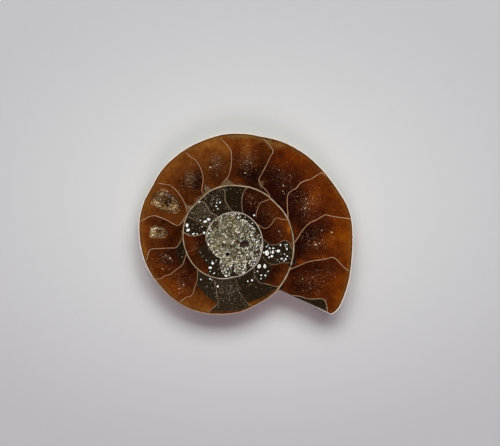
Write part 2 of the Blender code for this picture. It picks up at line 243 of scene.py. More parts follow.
# Olive, under the outer edge at the top and bottom:
OLIVE_DABS = (
    (279, 146, 6, 4, 0.5), (270, 143, 4, 5, 0.6), (238, 136, 20, 3, 0.5), (262, 139, 8, 3, 0.35),
    (214, 138, 8, 4, 0.3), (298, 151, 9, 5, 0.3), (247, 306, 7, 4, 0.6),
)
# Bright grains beyond what a chamber has all over:
SPARKLE_DABS = (
    (248, 162, 6, 11, 1.2), (247, 147, 6, 5, 0.4), (306, 205, 5, 10, 1.2), (314, 197, 6, 8, 0.5),
    (284, 176, 8, 9, 0.4), (290, 191, 5, 7, 0.4), (189, 179, 7, 10, 0.9), (216, 165, 8, 9, 0.6),
    (163, 258, 8, 7, 0.6), (314, 242, 9, 7, 0.9), (304, 234, 6, 5, 0.3), (281, 231, 5, 4, 0.6),
    (181, 284, 8, 9, 0.6), (312, 282, 14, 8, 0.5), (332, 272, 5, 6, 0.4), (251, 199, 5, 7, 0.5),
    (272, 211, 6, 5, 0.3), (196, 245, 5, 6, 0.4), (200, 212, 8, 6, 0.8), (213, 198, 8, 6, 0.6),
    (228, 290, 8, 9, 0.8), (225, 282, 8, 4, 0.4),
)
# Dark gaps between the grains of the middle, and round its edge:
DARK_DABS = (
    (236.2, 241.2, 2.8, 2, 0.6), (246, 217.5, 5, 2.4, 1), (251.5, 222, 2.8, 2.8, 1),
    (214.5, 223.5, 3.4, 3.6, 1), (257, 231, 2.2, 3.6, 1), (260.5, 241, 1.4, 3.4, 1),
    (256.5, 252, 1.8, 1.6, 0.9), (259, 250, 1.2, 3, 0.7), (247.2, 265, 1.4, 3.4, 1.2),
    (233, 269, 1.2, 4.5, 1.2), (229.5, 268, 1.2, 2.6, 0.6), (221, 266, 1.2, 3, 0.7),
    (223, 243.8, 1.6, 1.4, 1), (222.5, 245.6, 1.2, 1, 0.8), (231, 246, 1.2, 1.1, 0.9),
    (227, 234, 1.8, 1.2, 0.5), (246, 236, 1.2, 1, 0.5), (252, 240, 1.6, 1.2, 0.7),
    (250, 249, 2, 1.2, 0.6), (244, 253, 1.6, 1.2, 0.5), (239.5, 222, 1.4, 3, 0.5),
)
# Milky wedges on the outer side of the wall: growth angle, half width in degrees and height.
MILKY_FEET = (
    (-497.5, 12, 1.5), (-484, 10, 0.55), (-519, 6, 1.9), (-533, 24, 0.7), (-547, 6, 1.7),
    (-561, 12, 0.45),
)
# Small ovals: x, y, width and height in picture elements, and heading of the width in degrees.
# White mineral grains:
WHITE_GRAINS = (
    (187, 225, 3, 4, 0), (188, 229.7, 4, 3, 35), (193.3, 233.5, 4, 1.8, 35), (197, 233.7, 2.2, 1.6, -45),
    (200, 220, 1.5, 1.5, 0), (205, 221.3, 4, 2.6, 10), (208.5, 219, 4, 2.8, -20),
    (202, 226.5, 1.8, 1.6, 0), (204, 232.6, 2.6, 2.6, 0), (208.5, 233, 2.2, 2.2, 0),
    (216.5, 202.5, 1.5, 1.5, 0), (220, 202.2, 2, 2, 0), (216, 205.6, 2, 2, 0),
    (217.5, 208.5, 2.2, 1.8, 0), (199.3, 201.5, 3.5, 1.2, 35), (254, 215, 2, 2, 0),
    (252.3, 223, 1.9, 1.6, 0), (250, 225.7, 1.7, 2.2, 20), (251.8, 228.3, 1.8, 1.5, 0),
    (244.8, 217, 1.6, 1.2, 0), (238.3, 217.5, 1.9, 3.2, 15), (251.2, 235.2, 2.4, 1.8, 20),
    (254.5, 239, 2.2, 1.4, 30), (258.6, 240.2, 1.2, 2.4, -20), (246, 223.5, 1.4, 1.2, 0),
    (256.5, 246, 1.5, 2, 30), (235.3, 213.6, 1.8, 1.6, 0), (230.5, 225.5, 1.4, 1.8, 0),
    (211, 230, 2.4, 1.4, 30), (208.4, 239.5, 1.2, 2.2, 0), (215.8, 220.3, 1.8, 1.6, 0),
    (266.8, 252.8, 4, 5.6, 0), (266.5, 246.3, 3.2, 1.2, 60), (269.3, 247.6, 3.6, 1.3, -50),
    (267.9, 244.6, 2.4, 1.2, -30), (273.2, 248, 2.5, 2, 0), (272.6, 252, 2.4, 4, 0),
    (270.2, 251.8, 1.1, 2.4, 0), (271.6, 255.9, 3, 2.4, 20), (269, 257, 2, 2, 0),
    (263.6, 252.3, 1.4, 2.6, 0), (278.3, 250.7, 3.6, 3, 0), (275.5, 250.4, 2.4, 0.9, 0),
    (280.2, 245, 3.4, 1.6, 65), (284.5, 244.6, 2.8, 1.2, 0), (287.2, 244.3, 2, 1.3, 0),
    (285.4, 246, 1.2, 2, 0), (286.8, 248.7, 1.8, 2.6, 0), (284.4, 253.8, 2.6, 1.4, -35),
    (287.1, 256, 2, 2, 0), (281.5, 258.3, 2.8, 1.9, 20), (285.4, 258.6, 3, 1.6, -50),
    (277.4, 259.5, 1.5, 1.4, 0), (279.4, 261.4, 1.5, 1.3, 0), (284, 260.4, 2, 1.4, 0),
    (289.6, 257.7, 1.2, 1.2, 0), (259, 266, 3.6, 4.8, -25), (264.6, 266, 3, 4.4, 0),
    (257.2, 270.9, 1.8, 2, 0), (261, 274.9, 2.2, 1.9, 0), (265.2, 275, 2.6, 2, 0),
    (260.8, 278.4, 2.2, 1.3, 25), (268, 270.8, 2.8, 1.3, -50), (252, 280, 2.5, 2.4, 0),
    (247.6, 280.8, 1.8, 1.9, 0), (210, 267.5, 4, 2.6, 10), (212.6, 263, 3, 2.8, 0),
    (216, 260, 1.8, 1.8, 0), (210.2, 271, 1.6, 1.4, 0), (214, 273, 2.6, 1.5, 30),
    (212, 260.6, 1.6, 1.4, 0), (206, 260, 1.6, 1.6, 0), (200.6, 279.2, 1.8, 1.8, 0),
    (210, 278.4, 2.2, 1.8, 0), (211.6, 279.6, 1.6, 1.2, 0), (225.5, 275.6, 3, 2, 0),
    (229.2, 275, 1.6, 1.6, 0), (226, 272, 2, 1.6, 0), (227.4, 268.6, 2.4, 1.4, 20),
    (234.5, 271, 3, 1.2, -30), (217.6, 286, 2.4, 2.6, 0), (226.5, 275.8, 2, 2, 0),
    (251.5, 235.3, 2.2, 2.2, 0), (254.5, 272, 1.2, 1.2, 0), (254, 260, 2.4, 1.6, -30),
    (254.2, 263.2, 2, 1.6, 0), (240.5, 241, 3, 1.2, 30), (244, 239.4, 2.4, 1, 30),
    (252.5, 239.5, 2, 1.4, -30), (256.5, 249.5, 1.6, 1.4, 0), (238.4, 237.8, 1.6, 1.4, 0),
    (227.6, 249.4, 1.4, 1.2, 0),
)
# The dull hearts of the largest white grains:
GRAIN_HEARTS = (
    (259, 266, 1.5, 2.4, 0), (264.6, 266.4, 1.1, 2, 0), (267.2, 252.6, 1.2, 2.2, 0),
    (278.7, 250.6, 1.3, 1, 0), (205, 221.5, 1.2, 0.9, 0), (208.5, 219, 1, 0.8, 0),
    (187.8, 229.8, 1.2, 0.9, 35), (267, 246.4, 1.8, 0.7, 60),
)
# Painted shade: near-black ovals for the dark insides of small hollows, most of them beside the wall by the
# broken end:
HOLLOW_SHADE_SPOTS = (
    (289.6, 264.6, 2, 3.4, 30), (290.4, 266.2, 1.4, 1.6, 0), (294.2, 260.6, 1.6, 3.4, -20),
    (286.2, 281.2, 1.3, 2.6, 40), (281.6, 287.9, 4.4, 1.9, 35), (283.2, 286.8, 1.8, 1.5, 0),
    (286.2, 268.8, 0.9, 1.3, 0), (272, 149, 1, 1, 0),
)
# Single bright cream grains in the calcite, brighter than the sparkle round them:
GLINTS = (
    (283.1, 185.3, 2, 1.4, 0), (282.4, 190.7, 2, 1.2, -30), (284.4, 193.3, 1, 1, 0),
    (291.7, 185.7, 2.4, 0.8, 0), (279.1, 169.9, 1.1, 1.1, 0), (289.8, 174.9, 1.2, 1.2, 0),
    (301.7, 164.3, 1, 1, 0), (313, 185.3, 1.2, 1.2, 0), (306.1, 198.6, 1.4, 1.4, 0),
    (307.6, 202.7, 1.6, 1.4, 30), (304.8, 207.9, 2, 1.4, 20), (301.3, 208.8, 1.2, 1.2, 0),
    (318.9, 194.6, 1.3, 1, 0), (312.2, 200.9, 0.9, 0.9, 0), (302.8, 206.2, 0.9, 0.9, 0),
    (315.6, 244.2, 2.8, 1.9, -10), (319.6, 242.9, 1.8, 1.1, 20), (322.6, 239.8, 1, 1, 0),
    (303.1, 290.2, 1.5, 1.2, 0), (316.4, 269.6, 1, 1, 0), (334, 270.9, 1.4, 1, -30),
    (336.4, 268.7, 1, 1, 0), (334.8, 276.8, 2.2, 0.8, 0), (322.2, 280.3, 1, 1, 0),
    (312.8, 276.8, 1, 1, 0), (331.7, 232, 2.2, 1.5, 0), (321.4, 230.4, 1.2, 1.1, 0),
    (323.1, 236.3, 1, 1, 0), (247.6, 152.3, 1.4, 1.1, 30), (247.1, 156.9, 1.5, 1.1, 0),
    (249.7, 162.3, 1.2, 1, 0), (251.4, 163.4, 1.1, 1.1, 0), (245, 172.6, 1.6, 1.2, 0),
    (255, 156.3, 1, 0.8, 0), (165.8, 255.3, 1.1, 2.2, 20), (169.8, 257.9, 2.4, 1.4, 40),
    (152.3, 258.3, 1.5, 0.9, 20), (172.5, 261.4, 1, 1, 0), (162.5, 268.6, 1.5, 1, -20),
    (164.8, 261.6, 1, 1, 0), (183.5, 284.3, 1.9, 1.2, 0), (184.8, 277.3, 1, 1, 0),
    (179.4, 285.1, 1, 1, 0), (179.1, 293, 1, 1, 0), (210.3, 167, 1.8, 1.5, 0),
    (217.1, 164.5, 1.4, 1.1, 20), (216.6, 175.5, 1.1, 1.1, 0), (252.1, 197.7, 1.3, 1.1, 0),
    (249, 195.9, 1, 1, 0), (278.6, 231, 1.1, 1.1, 0), (276, 234, 1.2, 1, 0), (281, 235, 1, 1, 0),
)
# The crystals' own outlines round the two pockets:
CRYSTAL_EDGES = (
    ((158, 190), (162, 187.5), (168, 191), (172, 197), (176, 203), (179, 210), (175, 214), (171, 212),
     (166, 209), (162, 206.5), (156, 205), (151, 204.5), (152, 200), (155.5, 197)),
    ((149.5, 228), (154, 225.5), (160, 228), (165, 230), (167, 234), (165, 237.5), (158, 238),
     (151, 237), (149, 232)),
)
# The granular middle, where the innermost turns are dissolved and refilled:
GRAINY_EDGE = (
    (221, 271), (219.5, 264), (220.5, 258.5), (216, 256), (212, 252), (208, 246), (206.5, 239),
    (206.5, 231), (209, 225), (214, 219), (221, 215), (232, 212.5), (240, 213), (243, 217), (247, 221),
    (252, 224.5), (257, 231), (261, 236), (262, 243), (261, 252), (257.5, 259), (254, 265), (249, 266),
    (246.5, 263), (247, 268), (243, 273.5), (237, 274), (233.5, 269), (232.5, 265), (232, 272),
    (228, 276), (224, 275),
)


def smooth_step(low, high, value):
    held = np.clip((value - low) / (high - low), 0, 1)
    return held * held * (3 - 2 * held)


def from_view(points):
    """Places in the view, in millimetres about the coil's axis with y upwards."""
    return (np.array(points, dtype=float) - AXIS_IN_VIEW) * (PIXEL, -PIXEL)


def swollen(growth, swellings):
    return 1 + sum(share * np.exp(-(((growth - at) / width) ** 2)) for at, width, share in swellings)


def even_radius(growth):
    return COIL_RADIUS * np.exp(GROWTH_RATE * np.radians(growth))


def outline_radius(growth):
    return even_radius(growth) * swollen(growth, OUTLINE_SWELLINGS)


def wall_radius(growth):
    wall = WALL_SHARE * even_radius(growth) * swollen(growth, WALL_SWELLINGS)
    return np.where(growth > WALL_START, np.maximum(wall, outline_radius(growth)), wall)


# ---- the shell's own shape
def radius_at(growth, across):
    along_flank = NAVEL_SHARE + across * (1 - NAVEL_SHARE)
    outer_weight = smooth_step(SEAM_SHARE, 1, across)
    return even_radius(growth) * along_flank * (1 + (swollen(growth, OUTLINE_SWELLINGS) - 1) * outer_weight)


def flank_shape(across):
    beyond = max(0.0, (across - SHOULDER_SHARE) / (1 - SHOULDER_SHARE))
    return math.sqrt(max(0.0, 1 - beyond**FLANK_POWER))


def section_shape(across):
    if across >= SHOULDER_SHARE:
        return flank_shape(across)
    seam = math.exp(-2 * math.pi * GROWTH_RATE * BREADTH_POWER) * flank_shape(SEAM_SHARE)
    return seam + (1 - seam) * math.sin(math.pi / 2 * across / SHOULDER_SHARE) ** 0.8


def rib_height(growth, across):
    window = smooth_step(RIB_START, 0.65, across) * smooth_step(0.985, 0.865, across)
    lean = RIB_SWEEP * max(0.0, across - RIB_START) ** 2
    return RIB_RELIEF * window * math.cos(math.radians((growth - lean) * RIBS_PER_TURN))


def polar(radius, heading):
    return np.array((radius * math.cos(math.radians(heading)), radius * math.sin(math.radians(heading))))


NOTCH = polar(outline_radius(-360.0), BROKEN_END_HEADING)
TIP = polar(outline_radius(-TIP_LAG), BROKEN_END_HEADING + TIP_LAG)
NOTCH_RADIUS = math.hypot(*NOTCH)
BREAK_LINE = TIP - NOTCH
BREAK_LENGTH = math.hypot(*BREAK_LINE)


def break_share(radius):
    """How far along the line of the break, from notch (0) to tip (1), it reaches a distance from the axis."""
    half = float(NOTCH @ BREAK_LINE)
    return (math.sqrt(half**2 + BREAK_LENGTH**2 * (radius**2 - NOTCH_RADIUS**2)) - half) / BREAK_LENGTH**2


def break_lag(radius):
    if radius <= NOTCH_RADIUS:
        return 0.0
    at = NOTCH + BREAK_LINE * break_share(radius)
    return math.degrees(math.atan2(at[1], at[0])) - BROKEN_END_HEADING


def lagged(growth, across):
    """The growth angle held back, near the broken end, so that the last section lies along the break."""
    near_end = float(smooth_step(0, 1, (growth + LAG_LENGTH) / LAG_LENGTH))
    lag = 0.0
    if near_end > 0:
        for _ in range(4):
            lag = near_end * break_lag(radius_at(growth - lag, across))
    return growth - lag


def flank_point(growth, across):
    breadth = HALF_BREADTH * (even_radius(growth) / COIL_RADIUS) ** BREADTH_POWER
    depth = breadth * section_shape(across) + rib_height(growth, across)
    at = polar(radius_at(growth, across), BROKEN_END_HEADING - growth)
    return (at[0], at[1], HEIGHT - min(depth, HEIGHT))


def bevel_point(growth, row):
    """Row 0 is the shell's outer edge, and row BEVEL_ROWS the edge of the sawn face."""
    at = lagged(growth, 1.0)
    turn = math.pi / 2 * row / BEVEL_ROWS
    edge = polar(outline_radius(at) - EDGE_BREAK * (1 - math.cos(turn)), BROKEN_END_HEADING - at)
    return (edge[0], edge[1], HEIGHT - EDGE_BREAK * (1 - math.sin(turn)))


def section_rows():
    navel = [SHOULDER_SHARE * row / NAVEL_ROWS for row in range(NAVEL_ROWS)]
    hidden_width = SEAM_SHARE - SHOULDER_SHARE
    hidden = [SHOULDER_SHARE + hidden_width * row / HIDDEN_ROWS for row in range(HIDDEN_ROWS)]
    turns = [math.pi / 2 * row / OUTER_ROWS for row in range(OUTER_ROWS)]
    return navel + hidden + [SEAM_SHARE + (1 - SEAM_SHARE) * math.sin(turn) for turn in turns]


# ---- distances
def curve_through(points, steps=10):
    """A smooth curve through all the points (Catmull-Rom)."""
    ends = np.vstack([2 * points[0] - points[1], points, 2 * points[-1] - points[-2]])
    t = np.linspace(0, 1, steps, endpoint=False)[:, None]
    spans = []
    for a, b, c, d in zip(ends, ends[1:], ends[2:], ends[3:]):
        bend = (2 * a - 5 * b + 4 * c - d) * t**2 + (3 * b - a - 3 * c + d) * t**3
        spans.append(0.5 * (2 * b + (c - a) * t + bend))
    return np.vstack(spans + [points[-1:]])


def curve_distance(places, curve):
    """Distance of each place to the curve, negative on its right."""
    start = curve[:-1]
    step = curve[1:] - start
    away = places[:, None, :] - start
    share = np.clip((away * step).sum(-1) / (step * step).sum(-1), 0, 1)
    gap = away - share[..., None] * step
    distance = np.hypot(gap[..., 0], gap[..., 1])
    nearest = distance.argmin(1)
    row = np.arange(len(places))
    side = step[nearest, 0] * away[row, nearest, 1] - step[nearest, 1] * away[row, nearest, 0]
    return np.where(side < 0, -1.0, 1.0) * distance[row, nearest]


def inside(places, outline):
    """Which places lie inside a closed outline."""
    x, y = places[:, 0], places[:, 1]
    within = np.zeros(len(places), dtype=bool)
    for (ax, ay), (bx, by) in zip(outline, np.roll(outline, -1, axis=0)):
        crosses = (ay > y) != (by > y)
        if ay != by:
            within ^= crosses & (x < (bx - ax) * (y - ay) / (by - ay) + ax)
    return within


def depth_inside(places, points):
    """Distance inside a smooth closed outline through points of the view, negative outside."""
    loop = curve_through(from_view(points + points[:1]))
    return np.abs(curve_distance(places, loop)) * np.where(inside(places, loop), 1, -1)


def along_and_side(away, heading):
    """Offsets seen along a heading and to its left."""
    turn = math.radians(heading)
    along = away[:, 0] * math.cos(turn) + away[:, 1] * math.sin(turn)
    return along, away[:, 1] * math.cos(turn) - away[:, 0] * math.sin(turn)


def dabs(places, table):
    """The sum of soft dabs."""
    total = np.zeros(len(places))
    for x, y, across, down, amount in table:
        away = (places - from_view((x, y))) / (np.array((across, down)) * PIXEL)
        total += amount * np.exp(-((away**2).sum(1)))
    return total


def spots(places, table):
    """Distance inside the nearest of some small ovals, negative outside."""
    deepest = np.full(len(places), -1.0)
    for x, y, width, height, heading in table:
        along, side = along_and_side(places - from_view((x, y)), heading)
        half = np.array((width, height)) * PIXEL / 2
        depth = (1 - np.hypot(along / half[0], side / half[1])) * half.min()
        deepest = np.maximum(deepest, depth)
    return deepest


def milky_feet(growth, wall):
    """How milky each place is from the wedges on the wall's outer side."""
    milky = np.zeros(len(growth))
    for at, half_width, height in MILKY_FEET:
        reach = height * np.clip(1 - np.abs(growth - at) / half_width, 0, 1) ** 1.4
        milky = np.maximum(milky, smooth_step(-0.30, 0.50, reach - wall) * (reach > 0.02) * 0.7)
    return np.where(wall > -0.05, milky, 0)


def from_axis(places):
    """Distance from the coil's axis, and growth angle in the outermost turn."""
    heading = np.degrees(np.arctan2(places[:, 1], places[:, 0]))
    return np.hypot(places[:, 0], places[:, 1]), (BROKEN_END_HEADING - heading) % 360 - 360


def coil_place(places):
    """Growth angle and share across the whorl of places on the sawn face."""
    radius, first = from_axis(places)
    growth = first.copy()
    across = np.ones(len(places))
    for turn in range(TURNS):
        outer = wall_radius(first - 360 * turn)
        inner = wall_radius(first - 360 * (turn + 1))
        within = (radius <= outer) | (turn == 0)
        growth = np.where(within, first - 360 * turn, growth)
        across = np.where(within, (radius - inner) / (outer - inner), across)
    return growth, np.clip(across, 0, 1)


def wall_distance(places, growth):
    """Signed distance to the nearest wall between two turns, for a wall of even thickness."""
    radius, _ = from_axis(places)
    inner = (radius - wall_radius(growth - 360)) / np.interp(growth - 360, *WALL_THICKNESS)
    outer = (radius - wall_radius(growth)) / np.interp(growth, *WALL_THICKNESS)
    outer = np.where(growth > WALL_START, np.inf, outer)
    nearest = np.where(np.abs(inner) < np.abs(outer), inner, outer)
    return nearest * ACROSS_COIL


def septum_fields(places):
    """Signed distance to the nearest septum, and how plainly that one shows."""
    nearest = np.full(len(places), SEPTUM_REACH)
    shows = np.zeros(len(places))
    for strength, points in SEPTA:
        curve = curve_through(from_view(points))
        low, high = curve.min(0) - SEPTUM_REACH, curve.max(0) + SEPTUM_REACH
        close = np.flatnonzero(((places > low) & (places < high)).all(1))
        found = curve_distance(places[close], curve)
        better = np.abs(found) < np.abs(nearest[close])
        nearest[close[better]] = found[better]
        shows[close[better]] = strength
    return nearest, shows


def chamber_fields(places, growth, across):
    """Which chamber each place is in, and how far back in it from its front wall (0 to 1)."""
    fronts = []
    for _, points in SEPTA:
        at = from_view(points)
        septum_growth, septum_across = coil_place(at)
        turns_off = np.round((septum_growth[len(at) // 2] - septum_growth) / 360)
        septum_growth = septum_growth + 360 * turns_off
        septum_across = np.clip(septum_across - 2 * turns_off, 0, 1)
        order = np.argsort(septum_across)
        fronts.append(np.interp(across, septum_across[order], septum_growth[order]))
    fronts = np.array([np.zeros(len(places))] + fronts + [np.full(len(places), INNERMOST_FRONT)])
    chamber = np.clip((fronts[1:-1] >= growth).sum(0), 0, len(CHAMBERS) - 1)
    row = np.arange(len(places))
    front = fronts[chamber, row]
    back = fronts[chamber + 1, row]
    return chamber, np.clip((front - growth) / np.maximum(front - back, 1e-6), 0, 1)


def suture_number(growth):
    """Rises by one from each septum to the next one outwards, so a line can be drawn for every septum."""
    known = sorted(coil_place(from_view([points[len(points) // 2]]))[0][0] for _, points in SEPTA[:-1])
    step = known[1] - known[0]
    known = [known[0] - step * extra for extra in range(EXTRA_SUTURES, 0, -1)] + known + [10.0]
    return np.interp(growth, known, np.arange(len(known)) + 0.5)


def uneven(around):
    """How far a hollow's outline wanders from an oval, at an angle round it."""
    return 1 + HOLLOW_UNEVEN * (np.sin(2 * around + 0.6) + np.sin(3 * around + 2.0)) / 2


def round_hollow(hollow, share, around):
    """A place, seen from above, at a share of the way from the middle of a hollow (0) to its lip (1)."""
    centre, size, heading = hollow
    along = size[0] * share * uneven(around) * np.cos(around)
    side = size[1] * share * uneven(around) * np.sin(around)
    turn = math.radians(heading)
    x = centre[0] + along * math.cos(turn) - side * math.sin(turn)
    return x, centre[1] + along * math.sin(turn) + side * math.cos(turn)


def hollow_share(places, hollows):
    """In the nearest hollow: how far each place is towards its lip (1), its half width, and the depth."""
    least = np.full(len(places), FAR)
    width = np.ones(len(places))
    drop = np.zeros(len(places))
    for centre, size, heading in hollows:
        along, side = along_and_side(places - centre, heading)
        around = np.arctan2(side / size[1], along / size[0])
        share = np.hypot(along / size[0], side / size[1]) / uneven(around)
        closer = share < least
        least = np.where(closer, share, least)
        width = np.where(closer, size[1], width)
        drop = np.where(closer, size[2] * np.sqrt(np.clip(1 - share**2, 0, 1)), drop)
    return least, width, drop


def hollow_rings():
    """Points along the lip of every hollow and just inside it."""
    rings = []
    for hollow in HOLLOWS:
        count = int(2 * math.pi * hollow[1][0] / HOLLOW_SPACING)
        around = np.arange(count) * 2 * math.pi / count
        rings += [np.column_stack(round_hollow(hollow, share, around)) for share in LIP_RINGS]
    return np.vstack(rings)


def hex_grid(low, high, spacing):
    """Points of a triangular grid over a box."""
    rows = int((high[1] - low[1]) / (spacing * math.sqrt(0.75)))
    columns = int((high[0] - low[0]) / spacing)
    column, row = np.meshgrid(np.arange(columns), np.arange(rows))
    x = low[0] + (column + 0.5 * (row % 2)) * spacing
    y = low[1] + row * spacing * math.sqrt(0.75)
    return np.column_stack((x.ravel(), y.ravel()))


def triangles_inside(loop, points):
    """Triangles over a closed loop of points and the points inside it, as indices into the two together."""
    corners = [Vector(point) for point in np.vstack([loop, points])]
    edges = [(index, (index + 1) % len(loop)) for index in range(len(loop))]
    made = delaunay_2d_cdt(corners, edges, [], 1, 1e-7)
    source = [origins[0] for origins in made[3]]
    return [tuple(source[corner] for corner in face) for face in made[2]]


def shell_edge_distance(places):
    """How far in from the shell's edge of the sawn face."""
    radius, growth = from_axis(places)
    return (outline_radius(growth) - EDGE_BREAK - radius) * ACROSS_COIL


def break_distance(places):
    return np.abs(curve_distance(places, np.array((NOTCH, TIP))))


# ---- the stone's mesh
SHELL, SAWN, BROKEN = range(3)
ROWS = section_rows()
SEAM_ROW = NAVEL_ROWS + HIDDEN_ROWS
FACE_ROW = len(ROWS) + BEVEL_ROWS  # the edge of the sawn face
OFF_COIL = (0.0, 1.0, 0.0)  # as coil_corner gives, for faces that aren't part of the shell


def growth_at(turn, step):
    return 360.0 * (step / STEPS_PER_TURN - 1 - turn)


def coil_corner(turn, step, row):
    """Growth angle, share across and paleness of the lip at a point of the shell."""
    return growth_at(turn, step), ROWS[row] if row < len(ROWS) else 1.0, float(row >= len(ROWS))


class StoneMesh:
    """Points, faces and painted amounts of the whole half, gathered surface by surface."""

    def __init__(self):
        self.points = []
        self.faces = []
        self.slots = []
        self.coil_corners = []
        self.known = {}

    def add_point(self, place):
        self.points.append(tuple(place))
        return len(self.points) - 1

    def add_face(self, corners, slot, coil_corners=None):
        self.faces.append(corners)
        self.slots.append(slot)
        self.coil_corners.extend(coil_corners or [OFF_COIL] * len(corners))

    def fill(self, loop, flat_loop, flat_within, within, slot):
        """Triangles over a loop of known points and new points within it, meshed as they lie when flat."""
        numbers = loop + [self.add_point(place) for place in within]
        for face in triangles_inside(flat_loop, flat_within):
            self.add_face([numbers[corner] for corner in face], slot)
        return numbers

    def shell_point(self, turn, step, row):
        if row == 0 and turn < TURNS - 1:
            return self.shell_point(turn + 1, step, SEAM_ROW)
        if step == STEPS_PER_TURN and turn > 0:
            return self.shell_point(turn - 1, 0, row)
        key = (turn, step, row)
        if key not in self.known:
            growth = growth_at(turn, step)
            if row >= len(ROWS):
                place = bevel_point(growth, row - len(ROWS))
            else:
                place = flank_point(lagged(growth, ROWS[row]) if turn == 0 else growth, ROWS[row])
            self.known[key] = self.add_point(place)
        return self.known[key]

    def build_shell(self):
        for turn in range(TURNS):
            for step in range(STEPS_PER_TURN):
                for row in range(SEAM_ROW if turn else FACE_ROW):
                    around = ((step, row), (step + 1, row), (step + 1, row + 1), (step, row + 1))
                    corners = [self.shell_point(turn, *corner) for corner in around]
                    self.add_face(corners, SHELL, [coil_corner(turn, *corner) for corner in around])

    def build_navel_floor(self):
        inner = TURNS - 1
        loop = [self.shell_point(inner, step, 0) for step in range(STEPS_PER_TURN)]
        loop += [self.shell_point(inner, 0, row) for row in range(SEAM_ROW, 0, -1)]
        place = polar(math.hypot(*self.points[loop[0]][:2]) / 2, BROKEN_END_HEADING + 90)
        middle = self.add_point((*place, sum(self.points[corner][2] for corner in loop) / len(loop)))
        for index, corner in enumerate(loop):
            growth = 360.0 * (min(index, STEPS_PER_TURN) / STEPS_PER_TURN - TURNS)
            self.add_face([middle, loop[index - 1], corner], SHELL, [(growth, 0.0, 0.0)] * 3)

    def build_broken_edge(self):
        """Points along the sawn face's broken side, from the tip to the notch, without its two ends."""
        tip = np.array(self.points[self.shell_point(0, STEPS_PER_TURN, FACE_ROW)])
        notch = np.array(self.points[self.shell_point(0, 0, FACE_ROW)])
        count = int(math.dist(tip, notch) / EDGE_SPACING)
        return [self.add_point(tip + (notch - tip) * step / count) for step in range(1, count)]

    def build_sawn_face(self, broken_edge):
        loop = [self.shell_point(0, step, FACE_ROW) for step in range(STEPS_PER_TURN + 1)] + broken_edge
        outline = np.array([self.points[corner][:2] for corner in loop])
        low, high = outline.min(0), outline.max(0)
        coarse = hex_grid(low, high, FACE_SPACING)
        coarse = coarse[hollow_share(coarse, HOLLOWS)[0] > FINE_REACH]
        fine = hex_grid(low, high, HOLLOW_SPACING)
        share = hollow_share(fine, HOLLOWS)[0]
        fine = fine[(share < FINE_REACH) & (np.abs(share - LIP_BAND[0]) > LIP_BAND[1])]
        within = np.vstack([coarse, fine, hollow_rings()])
        edge_gap = np.minimum(shell_edge_distance(within), break_distance(within))
        within = within[inside(within, outline) & (edge_gap > 0.5 * FACE_SPACING)]
        height = HEIGHT - hollow_share(within, HOLLOWS)[2]
        return self.fill(loop, outline, within, np.column_stack((within, height)), SAWN)

    def build_broken_end(self, broken_edge):
        """The rough face of the break, worked out flat: distance along the break, and height."""
        outer = [self.shell_point(0, STEPS_PER_TURN, row) for row in range(FACE_ROW + 1)]
        inner = [self.shell_point(0, 0, row) for row in range(SEAM_ROW + 1, FACE_ROW + 1)]
        loop = outer + broken_edge + inner[::-1]
        flat = np.array([flat_on_break(self.points[corner]) for corner in loop])
        grid = hex_grid(flat.min(0), flat.max(0), EDGE_SPACING)
        grid = grid[inside(grid, flat)]
        away = np.abs(curve_distance(grid, np.vstack([flat, flat[:1]])))
        keep = away > 0.6 * EDGE_SPACING
        rough = [rough_on_break(place, gap) for place, gap in zip(grid[keep], away[keep])]
        self.fill(loop, flat, grid[keep], rough, BROKEN)


def flat_on_break(point):
    radius = math.hypot(point[0], point[1])
    if radius <= NOTCH_RADIUS:
        return (radius, point[2])
    return (NOTCH_RADIUS + BREAK_LENGTH * break_share(radius), point[2])


def rough_on_break(place, edge_gap):
    """A place on the break's face, sunk into the stone by broken steps that fade out towards its edge."""
    along, height = place
    if along <= NOTCH_RADIUS:
        at = polar(along, BROKEN_END_HEADING)
        inward = polar(1.0, BROKEN_END_HEADING + 90)
    else:
        at = NOTCH + BREAK_LINE * (along - NOTCH_RADIUS) / BREAK_LENGTH
        inward = np.array((-BREAK_LINE[1], BREAK_LINE[0])) / BREAK_LENGTH
    lumps = noise.noise(Vector((along * 0.9, height * 0.9, 3.0)))
    lumps += 0.5 * noise.noise(Vector((along * 2.6, height * 2.6, 8.0)))
    sunk = (0.16 + 0.22 * lumps) * float(smooth_step(0.0, 0.5, edge_gap))
    return (*(at + inward * max(0.0, sunk)), height)


# ---- what is painted on the sawn face
OFF_FACE = {
    **dict.fromkeys(("wall_gap", "septum_gap", "foot", "break_gap"), FAR),
    **dict.fromkeys(("white", "hollow_shade", "heart", "glint", "pit", "pocket", "crystalline"), -1.0),
    "grainy": -1.5,
}


def between(front, back, share):
    return front + (back - front) * share


def rim_tan_and_shade(growth):
    """Where the shell's cut rim is tan instead of nearly white: along its left and bottom, partly its own tan
    and partly painted shade on that underlit side, and a little near growth -110.
    """
    return smooth_step(-232, -262, growth) * 0.9 + 0.25 * np.exp(-(((growth + 110) / 18) ** 2))


def depth_in_hollow(places, hollows):
    share, width, _ = hollow_share(places, hollows.values())
    return np.clip((1 - share) * width, -1.0, 1.0)


def tone_of_pit(places):
    """The tone of the nearest pit."""
    tone = np.zeros(len(places))
    nearest = np.full(len(places), 3.0)
    for pit_tone, (centre, size, _) in zip(PIT_TONES, PITS.values()):
        away = np.hypot(*(places - centre).T) / size[0]
        tone = np.where(away < nearest, pit_tone, tone)
        nearest = np.minimum(away, nearest)
    return tone


